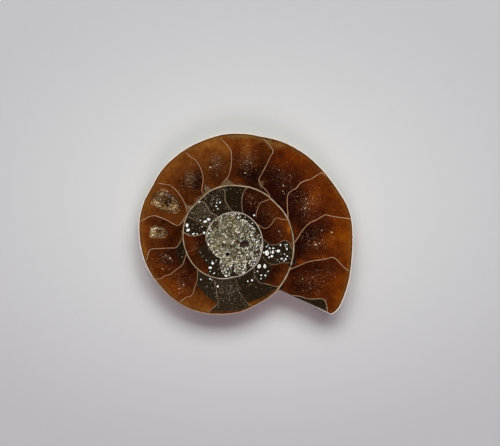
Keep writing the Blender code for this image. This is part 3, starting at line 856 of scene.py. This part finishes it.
def stone_paint(places, on_face):
    """The painted amounts of the sawn face, as one array for each name. Off the face they are plain."""
    radius, _ = from_axis(places)
    growth, across = coil_place(places)
    inner_wall = wall_radius(growth - 360)
    wall = wall_distance(places, growth)
    wall_shows = smooth_step(*INNERMOST_WALL, growth - 360 * (across < 0.5))
    septum, shows = septum_fields(places)
    foot = np.hypot(*(np.maximum(FOOT_RADIUS - np.abs(gap), 0) for gap in (wall, septum)))

    chamber, along = chamber_fields(places, growth, across)
    fill = np.array(CHAMBERS)[chamber].T
    inner, outer = between(fill[0], fill[1], along), between(fill[2], fill[3], along)
    mud = np.minimum(across - fill[4], between(fill[5], fill[6], along) - across)
    pale_mud, sparkle, ruddy = fill[7:]
    in_grains = np.exp(-(((across - 0.45) / 0.3) ** 2))

    grainy = depth_inside(places, GRAINY_EDGE)
    grainy = np.where(wall_shows > 0.5, np.minimum(grainy, np.abs(wall) - 0.14), grainy)
    to_right = (places - from_view((235, 240))) @ (0.9, -0.2)
    along_break = (places - NOTCH) @ BREAK_LINE / BREAK_LENGTH**2
    painted = {
        "wall": wall,
        "wall_gap": np.abs(wall),
        "wall_shows": wall_shows,
        "septum": septum,
        "septum_gap": np.abs(septum),
        "septum_shows": shows * (0.85 + 0.25 * across),
        "foot": FOOT_RADIUS - foot,
        "glow": between(inner, outer, smooth_step(0.1, 0.95, across)) + dabs(places, GLOW_DABS),
        "mud": np.clip(mud * (wall_radius(growth) - inner_wall), -1, 1),
        "pale_mud": pale_mud,
        "ruddy": ruddy,
        "olive": dabs(places, OLIVE_DABS),
        "milky": dabs(places, MILKY_DABS) + milky_feet(growth - 360, radius - inner_wall),
        "sparkle": sparkle * 0.35 * in_grains + dabs(places, SPARKLE_DABS),
        "grainy": np.clip(grainy, -1.5, 1.5),
        "gap": dabs(places, DARK_DABS),
        "white": spots(places, WHITE_GRAINS),
        "hollow_shade": spots(places, HOLLOW_SHADE_SPOTS),
        "heart": spots(places, GRAIN_HEARTS),
        "glint": spots(places, GLINTS),
        "rim": shell_edge_distance(places),
        # painted shade, partly real tan: the rim darker and tan along its underlit lower side
        "tan_and_shade": rim_tan_and_shade(growth),
        "break_gap": break_distance(places),
        "break_pale": smooth_step(0.25, 0.9, along_break),
        "contrast": 0.95 + 0.85 * smooth_step(-2.0, 4.0, to_right),
        "crystalline": np.maximum(*(depth_inside(places, edge) for edge in CRYSTAL_EDGES)).clip(-1.0),
        "pit_tone": tone_of_pit(places),
        "pit": depth_in_hollow(places, PITS),
        "pocket": depth_in_hollow(places, POCKETS),
    }
    return {name: np.where(on_face, values, OFF_FACE.get(name, 0.0)) for name, values in painted.items()}


# ---- pieces
def middle_in_frame():
    """Where the coil's axis stands in the CAD's frame, in millimetres, from the CAD half's own box."""
    rim = np.array([bevel_point(growth, 0)[:2] for growth in np.arange(-360.0, 0.01, 0.25)])
    low, high = np.array(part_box("ammonite"))[:, :2] / MM
    return Vector((*((low + high) / 2 - (rim.min(0) + rim.max(0)) / 2), 0.0))


TO_FRAME = Matrix.Scale(MM, 4) @ Matrix.Translation(middle_in_frame())


def new_mesh(name, points, faces):
    mesh = bpy.data.meshes.new(name)
    mesh.from_pydata(points, [], faces)
    return mesh


def add_layers(mesh, domain, layers):
    """Numbers that the materials read, one for each point, corner or face of the mesh."""
    for name, values in layers.items():
        layer = mesh.attributes.new(name, "FLOAT", domain)
        layer.data.foreach_set("value", np.array(values, dtype=np.float32))


def add_object(name, data):
    added = bpy.data.objects.new(name, data)
    bpy.context.scene.collection.objects.link(added)
    return added


def add_piece(name, mesh, materials, node):
    mesh.transform(TO_FRAME)
    for finish in materials:
        mesh.materials.append(finish)
    piece = add_object(name, mesh)
    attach(piece, "root")
    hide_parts(node)


def face_outwards(mesh):
    turned = bmesh.new()
    turned.from_mesh(mesh)
    bmesh.ops.recalc_face_normals(turned, faces=turned.faces)
    turned.to_mesh(mesh)
    turned.free()


def build_stone(materials):
    stone = StoneMesh()
    stone.build_shell()
    stone.build_navel_floor()
    broken_edge = stone.build_broken_edge()
    face_points = stone.build_sawn_face(broken_edge)
    stone.build_broken_end(broken_edge)
    mesh = new_mesh("ammonite_half", stone.points, stone.faces)
    mesh.polygons.foreach_set("material_index", stone.slots)
    on_face = np.zeros(len(stone.points), dtype=bool)
    on_face[face_points] = True
    add_layers(mesh, "POINT", stone_paint(np.array(stone.points)[:, :2], on_face))
    growth, across, lip = np.array(stone.coil_corners).T
    layers = {"growth": growth, "across": across, "lip": lip}
    # the lip rows' tan along the lower side is partly painted shade
    layers.update({"lip_tan_and_shade": rim_tan_and_shade(growth), "suture": suture_number(growth)})
    add_layers(mesh, "CORNER", layers)
    face_outwards(mesh)
    mesh.shade_smooth()
    mesh.set_sharp_from_angle(angle=math.radians(40))
    add_piece("ammonite_half", mesh, materials, "ammonite")


# ---- materials
LIGHT_LEVEL = 0.96  # how bright the studio's light makes a white surface
POLISH = 0.0020  # the light that the polish adds to every colour


def seen(red, painted_green_sheen, blue):
    """A colour as it shows on the sawn face, 0 to 255, as a shader's colour."""
    levels = []
    for part in (red / 255, painted_green_sheen / 255, blue / 255):
        linear = ((part + 0.055) / 1.055) ** 2.4 if part > 0.04 else part / 12.92
        levels.append(min(0.95, max(0.0, linear - POLISH) / LIGHT_LEVEL))
    return (*levels, 1.0)


def stops(*marks):
    """A ramp's stops, each given as its place, red, green and blue."""
    return [(place, seen(*colour)) for place, *colour in marks]


AMBER = stops(
    (0.0, 24, 10, 4), (0.2, 44, 19, 6), (0.4, 72, 34, 10), (0.6, 102, 54, 18), (0.8, 132, 80, 30),
    (1.0, 162, 110, 56),
)
MAROON = stops(
    (0.0, 24, 8, 5), (0.2, 44, 15, 6), (0.4, 72, 27, 8), (0.6, 102, 43, 5), (0.8, 132, 66, 6),
    (1.0, 162, 96, 22),
)
NACRE = stops((0.0, 128, 84, 48), (0.35, 176, 132, 88), (0.6, 206, 172, 134), (1.0, 232, 212, 186))
PIT_TINTS = stops((0.0, 8, 12, 9), (0.2, 24, 24, 10), (0.55, 60, 43, 33), (1.0, 98, 56, 38))
CRYSTAL_TINTS = stops(
    (0.0, 50, 28, 12), (0.25, 98, 62, 28), (0.5, 152, 114, 66), (0.75, 204, 172, 124), (1.0, 244, 226, 192)
)


class Value:
    """A shader's value, which can be added, taken away and multiplied."""

    def __init__(self, paint, socket):
        self.paint = paint
        self.socket = socket

    def __add__(self, other):
        return self.paint.math("ADD", self, other)

    def __radd__(self, other):
        return self.paint.math("ADD", other, self)

    def __sub__(self, other):
        return self.paint.math("SUBTRACT", self, other)

    def __rsub__(self, other):
        return self.paint.math("SUBTRACT", other, self)

    def __mul__(self, other):
        return self.paint.math("MULTIPLY", self, other)


class Finish:
    """One material's nodes. Each helper takes numbers, colours or values, and most give back a value."""

    def __init__(self, name):
        self.material = bpy.data.materials.new(name)
        self.material.use_nodes = True
        self.tree = self.material.node_tree
        self.shader = self.tree.nodes["Principled BSDF"]
        coordinates = self.node("TexCoord", {}, "Object")
        self.place = self.node("VectorMath", {0: coordinates, "Scale": 1 / MM}, operation="SCALE")
        self.colour = None

    def put(self, socket, value):
        if isinstance(value, Value):
            self.tree.links.new(value.socket, socket)
        else:
            socket.default_value = value

    def node(self, kind, inputs, output=0, **settings):
        """A new node's output, with the node's inputs and settings."""
        made = self.tree.nodes.new("ShaderNode" + kind)
        for name, setting in settings.items():
            setattr(made, name, setting)
        for socket, value in inputs.items():
            self.put(made.inputs[socket], value)
        return Value(self, made.outputs[output])

    def math(self, operation, *values, clamp=False):
        return self.node("Math", dict(enumerate(values)), operation=operation, use_clamp=clamp)

    def sine(self, value):
        return self.math("SINE", value)

    def size(self, value):
        return self.math("ABSOLUTE", value)

    def most(self, first, second):
        return self.math("MAXIMUM", first, second)

    def step(self, low, high, value):
        """0 at low and 1 at high, smooth between them, whichever of the two is the greater."""
        ends = {"From Min": min(low, high), "From Max": max(low, high)}
        ends.update({"To Min": float(low > high), "To Max": float(low <= high)})
        return self.node("MapRange", {"Value": value, **ends}, "Result", interpolation_type="SMOOTHSTEP")

    def mix(self, share, low, high):
        return self.node("Mix", {0: share, 6: low, 7: high}, 2, data_type="RGBA")

    def ramp(self, value, marks):
        ramp = self.node("ValToRGB", {0: value})
        elements = ramp.socket.node.color_ramp.elements
        for index, (position, colour) in enumerate(marks):
            mark = elements[index] if index < 2 else elements.new(position)
            mark.position = position
            mark.color = colour
        return ramp

    def chosen(self, number, often, soft):
        """1 for about that share of random numbers (0 to 1) that often gives, and 0 for the rest."""
        return self.math("DIVIDE", number - (1.0 - often), soft, clamp=True)

    def amount(self, name):
        """A number that the mesh carries."""
        return self.node("Attribute", {}, "Fac", attribute_name=name)

    def moved(self, offset):
        return self.node("VectorMath", {0: self.place, 1: (offset, 0.7 * offset, -0.4 * offset)})

    def noise(self, per_mm, detail, offset=0.0, spread=1.0, place=None):
        """Cloudy variation from about -spread to spread."""
        inputs = {"Vector": place or self.moved(offset), "Scale": per_mm, "Detail": detail}
        return (self.node("TexNoise", inputs) - 0.5) * (4.0 * spread)

    def cells(self, per_mm, offset):
        """Distance to the middle of a cell (in cells), and three random numbers for the cell."""
        distance = self.node("TexVoronoi", {"Vector": self.moved(offset), "Scale": per_mm}, "Distance")
        colour = Value(self, distance.socket.node.outputs["Color"])
        split = self.node("SeparateColor", {0: colour}).socket.node
        return distance, [Value(self, output) for output in split.outputs]

    def coil_place(self, per_degree, per_whorl):
        """Growth angle and share across the whorl as a place, so a pattern follows the shell."""
        growth, across = self.amount("growth"), self.amount("across")
        return self.node("CombineXYZ", {0: growth * per_degree, 1: across * per_whorl})

    def bump(self, height, depth):
        normal = self.node("Bump", {"Strength": 1.0, "Distance": depth * MM, "Height": height})
        self.put(self.shader.inputs["Normal"], normal)

    def cover(self, share, colour):
        """Lays a colour over those laid so far."""
        self.colour = self.mix(share, self.colour, colour)

    def finish(self, roughness, specular):
        self.put(self.shader.inputs["Base Color"], self.colour)
        self.put(self.shader.inputs["Roughness"], roughness)
        self.shader.inputs["Specular IOR Level"].default_value = specular
        return self.material


def cover_with_calcite(paint):
    """Calcite from near black through maroon or brown to gold, cloudy and finely grained."""
    glow = paint.amount("glow") + paint.noise(0.42, 2, 3, 0.10)
    glow = glow + paint.noise(1.3, 2, 7, 0.07) + paint.noise(4.0, 1, 11, 0.07)
    red = paint.math("ADD", paint.amount("ruddy"), paint.noise(0.28, 1, 20, 0.25), clamp=True)
    paint.colour = paint.mix(red, paint.ramp(glow, AMBER), paint.ramp(glow, MAROON))
    brown = paint.step(1.3, 0.3, paint.amount("rim")) * paint.step(0.3, 0.6, glow) * 0.5
    paint.cover(brown, seen(118, 78, 34))
    olive = paint.amount("olive") + paint.noise(0.9, 2, 25, 0.22)
    paint.cover(paint.step(0.06, 0.66, olive) * 0.7, seen(122, 92, 44))
    milky = paint.amount("milky") + paint.noise(1.8, 2, 30, 0.06)
    paint.cover(paint.step(0.02, 0.5, milky) * 0.5, seen(112, 84, 58))
    paint.cover(paint.step(0.45, 0.95, milky) * 0.85, seen(126, 112, 82))
    fine = paint.noise(4.2, 1, 33, 0.5)
    cloudy = paint.most(paint.step(0.0, 0.3, milky), paint.amount("sparkle") * 0.6)
    bright = paint.math("MULTIPLY", fine - 0.06, 0.05 + cloudy * 0.38, clamp=True)
    paint.cover(bright, seen(208, 176, 150))
    darker = fine * (-0.4 + cloudy * -1.4)
    paint.cover(paint.math("ADD", darker, 0.0, clamp=True), seen(20, 8, 5))


def mud(paint):
    """Dark brownish-grey mud rock with fine paler grains."""
    grain = paint.noise(4.2, 1, 41, 0.6)
    pale = paint.amount("pale_mud")
    dark_brown = paint.mix(pale, seen(21, 15, 8), seen(34, 26, 16))
    light_brown = paint.mix(pale, seen(46, 35, 22), seen(98, 82, 62))
    colour = paint.mix(paint.math("ADD", 0.45, grain, clamp=True), dark_brown, light_brown)
    distance, random_numbers = paint.cells(4.0, 44)
    chosen = paint.chosen(random_numbers[0], 0.08 + paint.amount("sparkle") * 0.30, 0.06)
    dot = paint.step(0.46, 0.26, distance) * chosen * (0.2 + random_numbers[1] * 0.7)
    return paint.mix(dot, colour, seen(180, 172, 152))


def sparkles(paint, per_mm, offset, share, strength):
    """Where small bright grains show: a mask. Most are faint."""
    distance, random_numbers = paint.cells(per_mm, offset)
    chosen = paint.chosen(random_numbers[0], paint.amount("sparkle") * share, 0.08)
    dot = paint.step(0.46, 0.26, distance + paint.noise(5.0, 1, offset + 3, 0.10))
    bright = 0.08 + paint.math("POWER", random_numbers[2], 3.0) * 0.92
    return dot * chosen * bright * strength


def granular_middle(paint):
    """Grey-green grains with black and white ones among them, most of all round the edge and at the right."""
    near_edge = paint.step(1.1, 0.2, paint.amount("grainy"))
    contrast = paint.amount("contrast") + near_edge * 0.6
    _, small = paint.cells(5.0, 84)
    _, large = paint.cells(3.1, 87)
    value = (small[0] - 0.5) * 0.60 + (large[0] - 0.5) * 0.45 + paint.noise(4.0, 1, 81, 0.22)
    value = value * contrast + contrast * -0.10 + 0.09 + near_edge * 0.13
    tone = paint.math("ADD", 0.5, paint.noise(0.9, 2, 82), clamp=True)
    colour = paint.mix(tone, seen(91, 85, 60), seen(128, 121, 94))
    yellow = paint.step(0.0, 0.5, paint.noise(0.55, 2, 83)) * 0.45
    colour = paint.mix(yellow, colour, seen(104, 86, 42))
    colour = paint.mix(paint.step(-0.10, -0.36, value), colour, seen(20, 16, 9))
    colour = paint.mix(paint.step(0.20, 0.52, value), colour, seen(246, 240, 222))
    gap = paint.amount("gap") + paint.noise(3.0, 1, 88, 0.12)
    return paint.mix(paint.step(0.26, 0.55, gap) * 0.94, colour, seen(52, 34, 14)), value


def rim_colour(paint, tan_and_shade):
    """The cut edge of the shell: pinkish cream, or tan where the mesh's amount of that name says. The tan is
    partly the shell's own and partly painted shade on its underlit lower side.
    """
    tan_and_shade = paint.math("ADD", paint.amount(tan_and_shade), paint.noise(0.5, 2, 150, 0.15), clamp=True)
    return paint.mix(tan_and_shade, seen(229, 213, 198), seen(160, 122, 94))


def cover_with_lines(paint, in_middle):
    """Shell walls between the turns, and the thinner septa, each with dark edges. Gives their mask."""
    wobble = paint.noise(1.2, 2, 100, 0.03)
    wall = paint.size(paint.amount("wall") + wobble)
    near_wall = paint.step(0.6, 0.5, paint.amount("wall_gap")) * paint.amount("wall_shows")
    septum = paint.size(paint.amount("septum") + wobble)
    near_septum = paint.step(0.6, 0.5, paint.amount("septum_gap")) * paint.amount("septum_shows")
    paint.cover(paint.step(0.26, 0.10, septum) * near_septum * 0.5, seen(26, 10, 7))
    paint.cover(paint.step(0.16, 0.06, paint.amount("foot")) * near_septum * 0.45, seen(112, 84, 56))
    pale = 0.5 + paint.noise(0.8, 2, 110, 0.5)
    line = paint.step(0.092, 0.025, septum) * near_septum
    in_mud = paint.step(-0.1, 0.1, paint.amount("mud"))
    darker = paint.mix(in_mud, seen(146, 100, 68), seen(108, 94, 72))
    paler = paint.mix(in_mud, seen(212, 166, 130), seen(172, 156, 132))
    paint.cover(line, paint.mix(pale, darker, paler))
    outside_middle = 1.0 - in_middle * 0.9
    paint.cover(paint.step(0.36, 0.20, wall) * near_wall * outside_middle * 0.6, seen(34, 24, 15))
    wall_line = paint.step(0.21, 0.08, wall) * near_wall * outside_middle
    beside_middle = paint.step(-1.4, -0.9, paint.amount("grainy"))
    darker = paint.mix(beside_middle, seen(130, 107, 80), seen(160, 144, 124))
    paler = paint.mix(beside_middle, seen(190, 165, 136), seen(214, 202, 186))
    paint.cover(wall_line, paint.mix(pale, darker, paler))
    return paint.most(line, wall_line)


def cover_hollows(paint):
    """The pits' dark floors, and the crystals' own rock round the pockets."""
    pit = paint.amount("pit") + paint.noise(1.6, 1, 97, 0.10)
    tone = paint.ramp(paint.amount("pit_tone"), PIT_TINTS)
    paint.cover(paint.step(-0.05, 0.02, pit), seen(16, 13, 8))
    paint.cover(paint.step(0.0, 0.09, pit), tone)
    edge = paint.amount("crystalline") + paint.noise(1.6, 2, 120, 0.30)
    _, grain = paint.cells(4.0, 122)
    gold = paint.mix(grain[0], seen(104, 66, 28), seen(206, 174, 124))
    paint.cover(paint.step(-0.10, 0.10, edge) * (0.05 + grain[1] * 0.8), gold)


def cover_rim(paint):
    """The pale cut edge of the shell, with a dark band inside it, and the paler part of the break's edge."""
    rim = paint.amount("rim") + paint.noise(1.5, 2, 130, 0.03)
    dark_rim = paint.step(0.50, 0.22, rim) * (0.7 + paint.noise(0.3, 2, 140, 0.4))
    paint.cover(dark_rim, seen(40, 24, 12))
    # the rim's tan along its lower side is partly painted shade
    paint.cover(paint.step(0.19, 0.10, rim), rim_colour(paint, "tan_and_shade"))
    break_edge = paint.step(0.16, 0.05, paint.amount("break_gap")) * paint.amount("break_pale")
    paint.cover(break_edge, rim_colour(paint, "tan_and_shade"))


def sawn_face_material():
    paint = Finish("sawn_face")
    cover_with_calcite(paint)
    paint.cover(paint.step(-0.42, 0.45, paint.amount("mud") + paint.noise(0.9, 2, 50, 0.12)), mud(paint))
    grain_colour = paint.mix(
        paint.step(-0.1, 0.1, paint.amount("mud")), seen(240, 198, 150), seen(210, 203, 184)
    )
    fine, coarse = sparkles(paint, 3.9, 60, 0.50, 0.70), sparkles(paint, 3.0, 70, 0.20, 1.0)
    paint.cover(paint.most(fine, coarse), grain_colour)
    glint = paint.amount("glint") + paint.noise(3.0, 1, 93, 0.04)
    paint.cover(paint.step(0.0, 0.06, glint) * 0.9, seen(240, 206, 168))

    middle, grain_value = granular_middle(paint)
    in_middle = paint.step(-0.03, 0.03, paint.amount("grainy") + paint.noise(2.5, 1, 90, 0.05))
    paint.cover(in_middle, middle)
    lines = cover_with_lines(paint, in_middle)
    white = paint.amount("white") + paint.noise(3.0, 1, 95, 0.05)
    paint.cover(paint.step(-0.17, -0.05, white) * 0.75, seen(20, 16, 11))
    paint.cover(paint.step(0.01, 0.06, white), seen(254, 252, 240))
    paint.cover(paint.step(-0.04, 0.10, paint.amount("heart")), seen(150, 138, 110))
    # painted shade: near-black ovals for the dark insides of small hollows
    paint.cover(paint.step(-0.04, 0.05, paint.amount("hollow_shade")), seen(22, 22, 10))
    cover_hollows(paint)
    cover_rim(paint)

    hollow = paint.step(-0.12, 0.0, paint.most(paint.amount("pocket"), paint.amount("pit")))
    paint.bump(paint.math("MINIMUM", grain_value, 0.2) * in_middle, 0.05)
    return paint.finish(0.16 + paint.most(in_middle, lines) * 0.22 + hollow * 0.5, 0.20)


def outer_shell_material():
    """The pearly outside: growth lines, ribs worn paler, amber patches and folded suture lines, with painted
    pearly sheen in pink and green.
    """
    paint = Finish("outer_shell")
    lines = paint.noise(1.0, 3, place=paint.coil_place(0.9, 1.6))
    rows = paint.noise(1.0, 2, place=paint.coil_place(0.18, 3.0))
    patches = paint.noise(0.16, 3, 8)
    paint.colour = paint.ramp(0.56 + lines * 0.20 + rows * 0.12 + patches * 0.18, NACRE)
    worn = paint.step(0.05, 0.30, patches + paint.noise(0.7, 3, 15, 0.3))
    paint.cover(worn * 0.85, paint.ramp(0.62 + paint.noise(0.5, 3, 25, 0.3), AMBER))

    across = paint.amount("across")
    lobes = paint.sine(across * 21.0) * 0.14 + paint.sine(across * 71.0) * 0.07
    lobes = lobes + paint.noise(1.6, 2, 35, 0.07)
    turn = paint.math("FRACT", paint.amount("suture") + lobes + 100.0)
    suture = paint.step(0.055, 0.02, paint.size(turn - 0.5)) * worn * 0.8
    paint.cover(suture, seen(222, 192, 156))

    # painted sheen: pink and green patches stand for the nacre's pearly play of light, where it isn't worn
    painted_pink_sheen = paint.step(-0.2, 0.6, paint.noise(0.33, 2, 45))
    paint.cover(painted_pink_sheen * (1.0 - worn) * 0.28, seen(206, 150, 140))
    painted_green_sheen = paint.step(0.1, 0.7, paint.noise(0.4, 2, 55))
    paint.cover(painted_green_sheen * (1.0 - worn) * 0.22, seen(150, 166, 140))
    # the lip rows take the rim colour, whose tan along the lower side is partly painted shade
    paint.cover(paint.amount("lip"), rim_colour(paint, "lip_tan_and_shade"))
    paint.bump(lines * 0.6 + paint.noise(1.5, 3, 65, 0.3), 0.05)
    return paint.finish(0.30 + worn * 0.12 + lines * 0.05, 0.5)


def broken_end_material():
    """Calcite and mud broken across, rough, with the pale shell round it."""
    paint = Finish("broken_end")
    value = 0.38 + paint.noise(0.7, 3, 5, 0.22) + paint.noise(3.0, 2, 9, 0.10)
    paint.colour = paint.ramp(value, AMBER)
    paint.cover(paint.step(-0.05, 0.15, paint.noise(0.35, 3, 17)) * 0.8, seen(52, 46, 34))
    distance, random_numbers = paint.cells(2.2, 28)
    dot = paint.step(0.25, 0.12, distance) * paint.step(0.75, 0.85, random_numbers[0])
    paint.cover(dot, seen(190, 160, 130))
    edge = paint.amount("rim") + paint.noise(1.4, 2, 33, 0.06)
    paint.cover(paint.step(0.30, 0.18, edge), seen(206, 172, 140))
    paint.bump(paint.noise(2.4, 4, 37, 0.5) + paint.noise(0.9, 2, 39, 0.6), 0.12)
    return paint.finish(0.42 + paint.noise(2.0, 2, 51, 0.1), 0.45)


def crystal_material():
    """Small glassy crystals, cream to golden brown, each a little different."""
    paint = Finish("golden_crystals")
    paint.colour = paint.ramp(paint.amount("tint") + paint.noise(3.0, 2, 4, 0.08), CRYSTAL_TINTS)
    paint.bump(paint.noise(6.0, 2, 12, 0.5), 0.01)
    paint.shader.inputs["Subsurface Weight"].default_value = 0.15
    paint.shader.inputs["Subsurface Radius"].default_value = (0.0006, 0.0004, 0.0002)
    paint.shader.inputs["Subsurface Scale"].default_value = 1.0
    return paint.finish(0.22 + paint.noise(2.0, 1, 14, 0.06), 0.55)


# ---- pocket crystals
CRYSTAL_SPACING = 0.30
LIP_SPACING = 0.22
CRYSTAL_WIDTHS = (0.11, 0.21)
CRYSTAL_LENGTHS = (0.24, 0.62)
CRUST_CLEARANCE = 0.06
# Where the crystals are palest, as soft dabs:
BRIGHT_CRYSTALS = (
    (166, 203, 4, 4, -0.35), (152, 204, 7, 5, 0.4), (171, 207, 7, 5, 0.26), (160, 192, 8, 4, 0.1),
    (152, 232, 4, 5, 0.62), (160, 228, 6, 3, 0.12),
)


class CrystalMesh:
    """A crust of small pointed crystals on a bowl's wall."""

    def __init__(self, pocket, seed):
        self.pocket = pocket
        self.centre, self.size, _ = pocket
        self.chance = random.Random(seed)
        self.points = []
        self.faces = []
        self.tints = []

    def jitter(self, spread):
        return self.chance.uniform(-spread, spread)

    def bowl_place(self, share, around, sunk=1.0):
        """A place on the bowl: share 0 at its bottom and 1 at its lip."""
        height = HEIGHT - self.size[2] * math.sqrt(max(0.0, 1 - share**2)) * sunk
        return Vector((*round_hollow(self.pocket, share * sunk, around), height))

    def brightness(self, place):
        return dabs(np.array([place.xy]), BRIGHT_CRYSTALS)[0]

    def add_shape(self, points, faces, tint):
        first = len(self.points)
        self.points.extend(points)
        for face in faces:
            self.faces.append([first + corner for corner in face])
            self.tints.append(tint + self.jitter(0.10))

    def add_lining(self):
        """The thin lumpy layer that the crystals stand on."""
        rings, sides = 14, 56
        inner, outer = [], []
        for ring in range(rings + 1):
            share = min(0.985, math.sin(math.pi / 2 * (ring + 0.5) / (rings + 0.5)))
            for side in range(sides):
                around = 2 * math.pi * side / sides
                outer.append(self.bowl_place(share, around, 1 - CRUST_CLEARANCE / self.size[1]))
                lump = 0.80 + 0.05 * math.sin(5.0 * around + 3 * ring) + self.jitter(0.04)
                inner.append(self.bowl_place(share, around, lump))
        count = len(outer)
        faces = [list(range(sides)), list(range(count, count + sides))[::-1]]
        for ring in range(rings + 1):
            for side in range(sides):
                a, b = ring * sides + side, ring * sides + (side + 1) % sides
                if ring == rings:
                    faces.append([a, b, count + b, count + a])
                    continue
                faces.append([a, b, b + sides, a + sides])
                faces.append([count + a, count + a + sides, count + b + sides, count + b])
        self.add_shape(outer + inner, faces, 0.18)
        for side, lip in enumerate(outer[-sides:]):
            self.tints[side - sides] = 0.12 + self.brightness(lip) + self.jitter(0.2)

    def add_crystal(self, foot, way, width, length, tint):
        """A six-sided crystal with a pointed end."""
        up = way.normalized()
        side = up.orthogonal().normalized()
        other = up.cross(side)
        spin = self.chance.uniform(0, math.pi / 3)
        points = []
        for reach, height in ((0.62, -0.35), (1.0, 0.42 + self.jitter(0.15))):
            for corner in range(6):
                turn = spin + corner * math.pi / 3
                out = side * math.cos(turn) + other * math.sin(turn)
                points.append(foot + out * width * reach + up * length * height)
        points.append(foot + up * length + side * width * self.jitter(0.3))
        drop = max(0.0, max(point.z for point in points) - (HEIGHT - 0.02))
        faces = [[5, 4, 3, 2, 1, 0]]
        for corner in range(6):
            after = (corner + 1) % 6
            faces.append([corner, after, after + 6, corner + 6])
            faces.append([corner + 6, after + 6, 12])
        self.add_shape([point - Vector((0, 0, drop)) for point in points], faces, tint)

    def add_crystals(self):
        rings = max(3, int(1.25 * self.size[1] / CRYSTAL_SPACING))
        middle = Vector((*self.centre, HEIGHT + 0.3))
        for ring in range(rings + 1):
            share = math.sin(math.pi / 2 * (ring + 0.3) / (rings + 0.3)) * 0.95
            around_length = 2 * math.pi * share * (self.size[0] + self.size[1]) / 2
            count = max(3, int(around_length / CRYSTAL_SPACING))
            for number in range(count):
                around = 2 * math.pi * (number + self.jitter(0.4)) / count
                foot = self.bowl_place(min(0.97, share + self.chance.uniform(-0.06, 0.03)), around, 0.86)
                way = (middle - foot).normalized() + Vector([self.jitter(0.55) for _ in range(3)])
                way.z = abs(way.z) + 0.15
                width = self.chance.uniform(*CRYSTAL_WIDTHS)
                length = self.chance.uniform(*CRYSTAL_LENGTHS) * (0.75 + 0.25 * share)
                pale = 0.10 + 0.14 * share**2 + self.brightness(foot) + self.chance.uniform(-0.2, 0.42)
                self.add_crystal(foot, way, width, length, pale)

    def add_lip_crystals(self):
        """Small ones along the lip, which hide the lining's edge."""
        count = int(2 * math.pi * (self.size[0] + self.size[1]) / 2 / LIP_SPACING)
        for number in range(count):
            around = 2 * math.pi * (number + self.jitter(0.4)) / count
            foot = self.bowl_place(0.975, around, self.chance.uniform(0.86, 0.92))
            way = Vector([self.jitter(0.5) for _ in range(3)])
            way.z = 1.0
            pale = 0.16 + self.brightness(foot) + self.chance.uniform(-0.2, 0.42)
            self.add_crystal(foot, way, self.chance.uniform(0.07, 0.12), 0.26, pale)


def build_crystals(name, pocket, seed, material):
    crust = CrystalMesh(POCKETS[pocket], seed)
    crust.add_lining()
    crust.add_crystals()
    crust.add_lip_crystals()
    mesh = new_mesh(name, crust.points, crust.faces)
    add_layers(mesh, "FACE", {"tint": crust.tints})
    add_piece(name, mesh, [material], pocket + "_crystals")


# ---- floor, lights, camera
FLOOR_HALF = 1.2  # metres
LIGHT_ELEVATION = 52
LIGHT_DISTANCE = 0.60  # metres
LIGHT_SIZE = 0.30  # metres
CAMERA_DISTANCE = 450.0
OUTLINE_CENTRE = (245.9, 223.7)  # in the view
GREENISH_WHITE = (0.955, 1.0, 0.965)
PINKISH_WHITE = (1.0, 0.84, 0.95)


def floor_material():
    """White paper, with painted shade that darkens it away from the object as the light falls off."""
    paint = Finish("white_paper")
    stretched = paint.node("VectorMath", {0: paint.place, 1: (1.0, 1.5, 1.0)}, operation="MULTIPLY")
    away = paint.node("VectorMath", {0: stretched}, "Value", operation="LENGTH")
    # painted shade: the paper darkens from 12 to 80 mm out, standing for the light falling off towards the
    # corners
    darker = paint.step(12.0, 80.0, away) + paint.noise(1.2, 3, 2, 0.02)
    paint.colour = paint.mix(darker, (0.675, 0.679, 0.679, 1.0), (0.533, 0.533, 0.55, 1.0))
    paint.bump(paint.noise(2.0, 3, 6, 0.4), 0.01)
    return paint.finish(0.85, 0.2)


def add_floor():
    corners = [(-FLOOR_HALF, -FLOOR_HALF, 0), (FLOOR_HALF, -FLOOR_HALF, 0)]
    corners += [(FLOOR_HALF, FLOOR_HALF, 0), (-FLOOR_HALF, FLOOR_HALF, 0)]
    mesh = new_mesh("floor", corners, [[0, 1, 2, 3]])
    mesh.materials.append(floor_material())
    add_object("floor", mesh)


def add_light(name, azimuth, power, colour):
    """A soft square light that faces the object. Azimuth 0 is towards +X and 90 towards +Y, in degrees."""
    light = bpy.data.lights.new(name, "AREA")
    light.size = LIGHT_SIZE
    light.energy = power
    light.color = colour
    lamp = add_object(name, light)
    elevation = math.radians(LIGHT_ELEVATION)
    away = Vector((*polar(math.cos(elevation), azimuth), math.sin(elevation)))
    lamp.location = away * LIGHT_DISTANCE
    lamp.rotation_euler = away.to_track_quat("Z", "Y").to_euler()


def add_lights():
    add_light("key_right", 60, 1.32, GREENISH_WHITE)
    add_light("key", 90, 1.62, GREENISH_WHITE)
    add_light("key_left", 125, 0.78, GREENISH_WHITE)
    add_light("fill", 272, 0.94, PINKISH_WHITE)
    world = bpy.data.worlds.new("studio")
    world.use_nodes = True
    background = world.node_tree.nodes["Background"]
    background.inputs["Color"].default_value = (1.0, 0.70, 0.85, 1.0)
    background.inputs["Strength"].default_value = 0.06
    bpy.context.scene.world = world


def add_camera():
    """Straight above, so that one picture element of the 500 x 446 view is PIXEL wide on the sawn face."""
    camera = bpy.data.cameras.new("camera")
    camera.sensor_width = 36.0
    camera.lens = camera.sensor_width * CAMERA_DISTANCE / (VIEW_SIZE[0] * PIXEL)
    stand = add_object("camera", camera)
    off = (np.array(VIEW_SIZE) / 2 - OUTLINE_CENTRE) * (PIXEL, -PIXEL)
    stand.location = Vector((*off, HEIGHT + CAMERA_DISTANCE)) * MM
    bpy.context.scene.camera = stand
    bpy.context.scene.view_settings.view_transform = "Standard"


build_stone([outer_shell_material(), sawn_face_material(), broken_end_material()])
crystals = crystal_material()
build_crystals("upper_crystals", "upper_pocket", 5, crystals)
build_crystals("lower_crystals", "lower_pocket", 9, crystals)
add_floor()
add_lights()
add_camera()
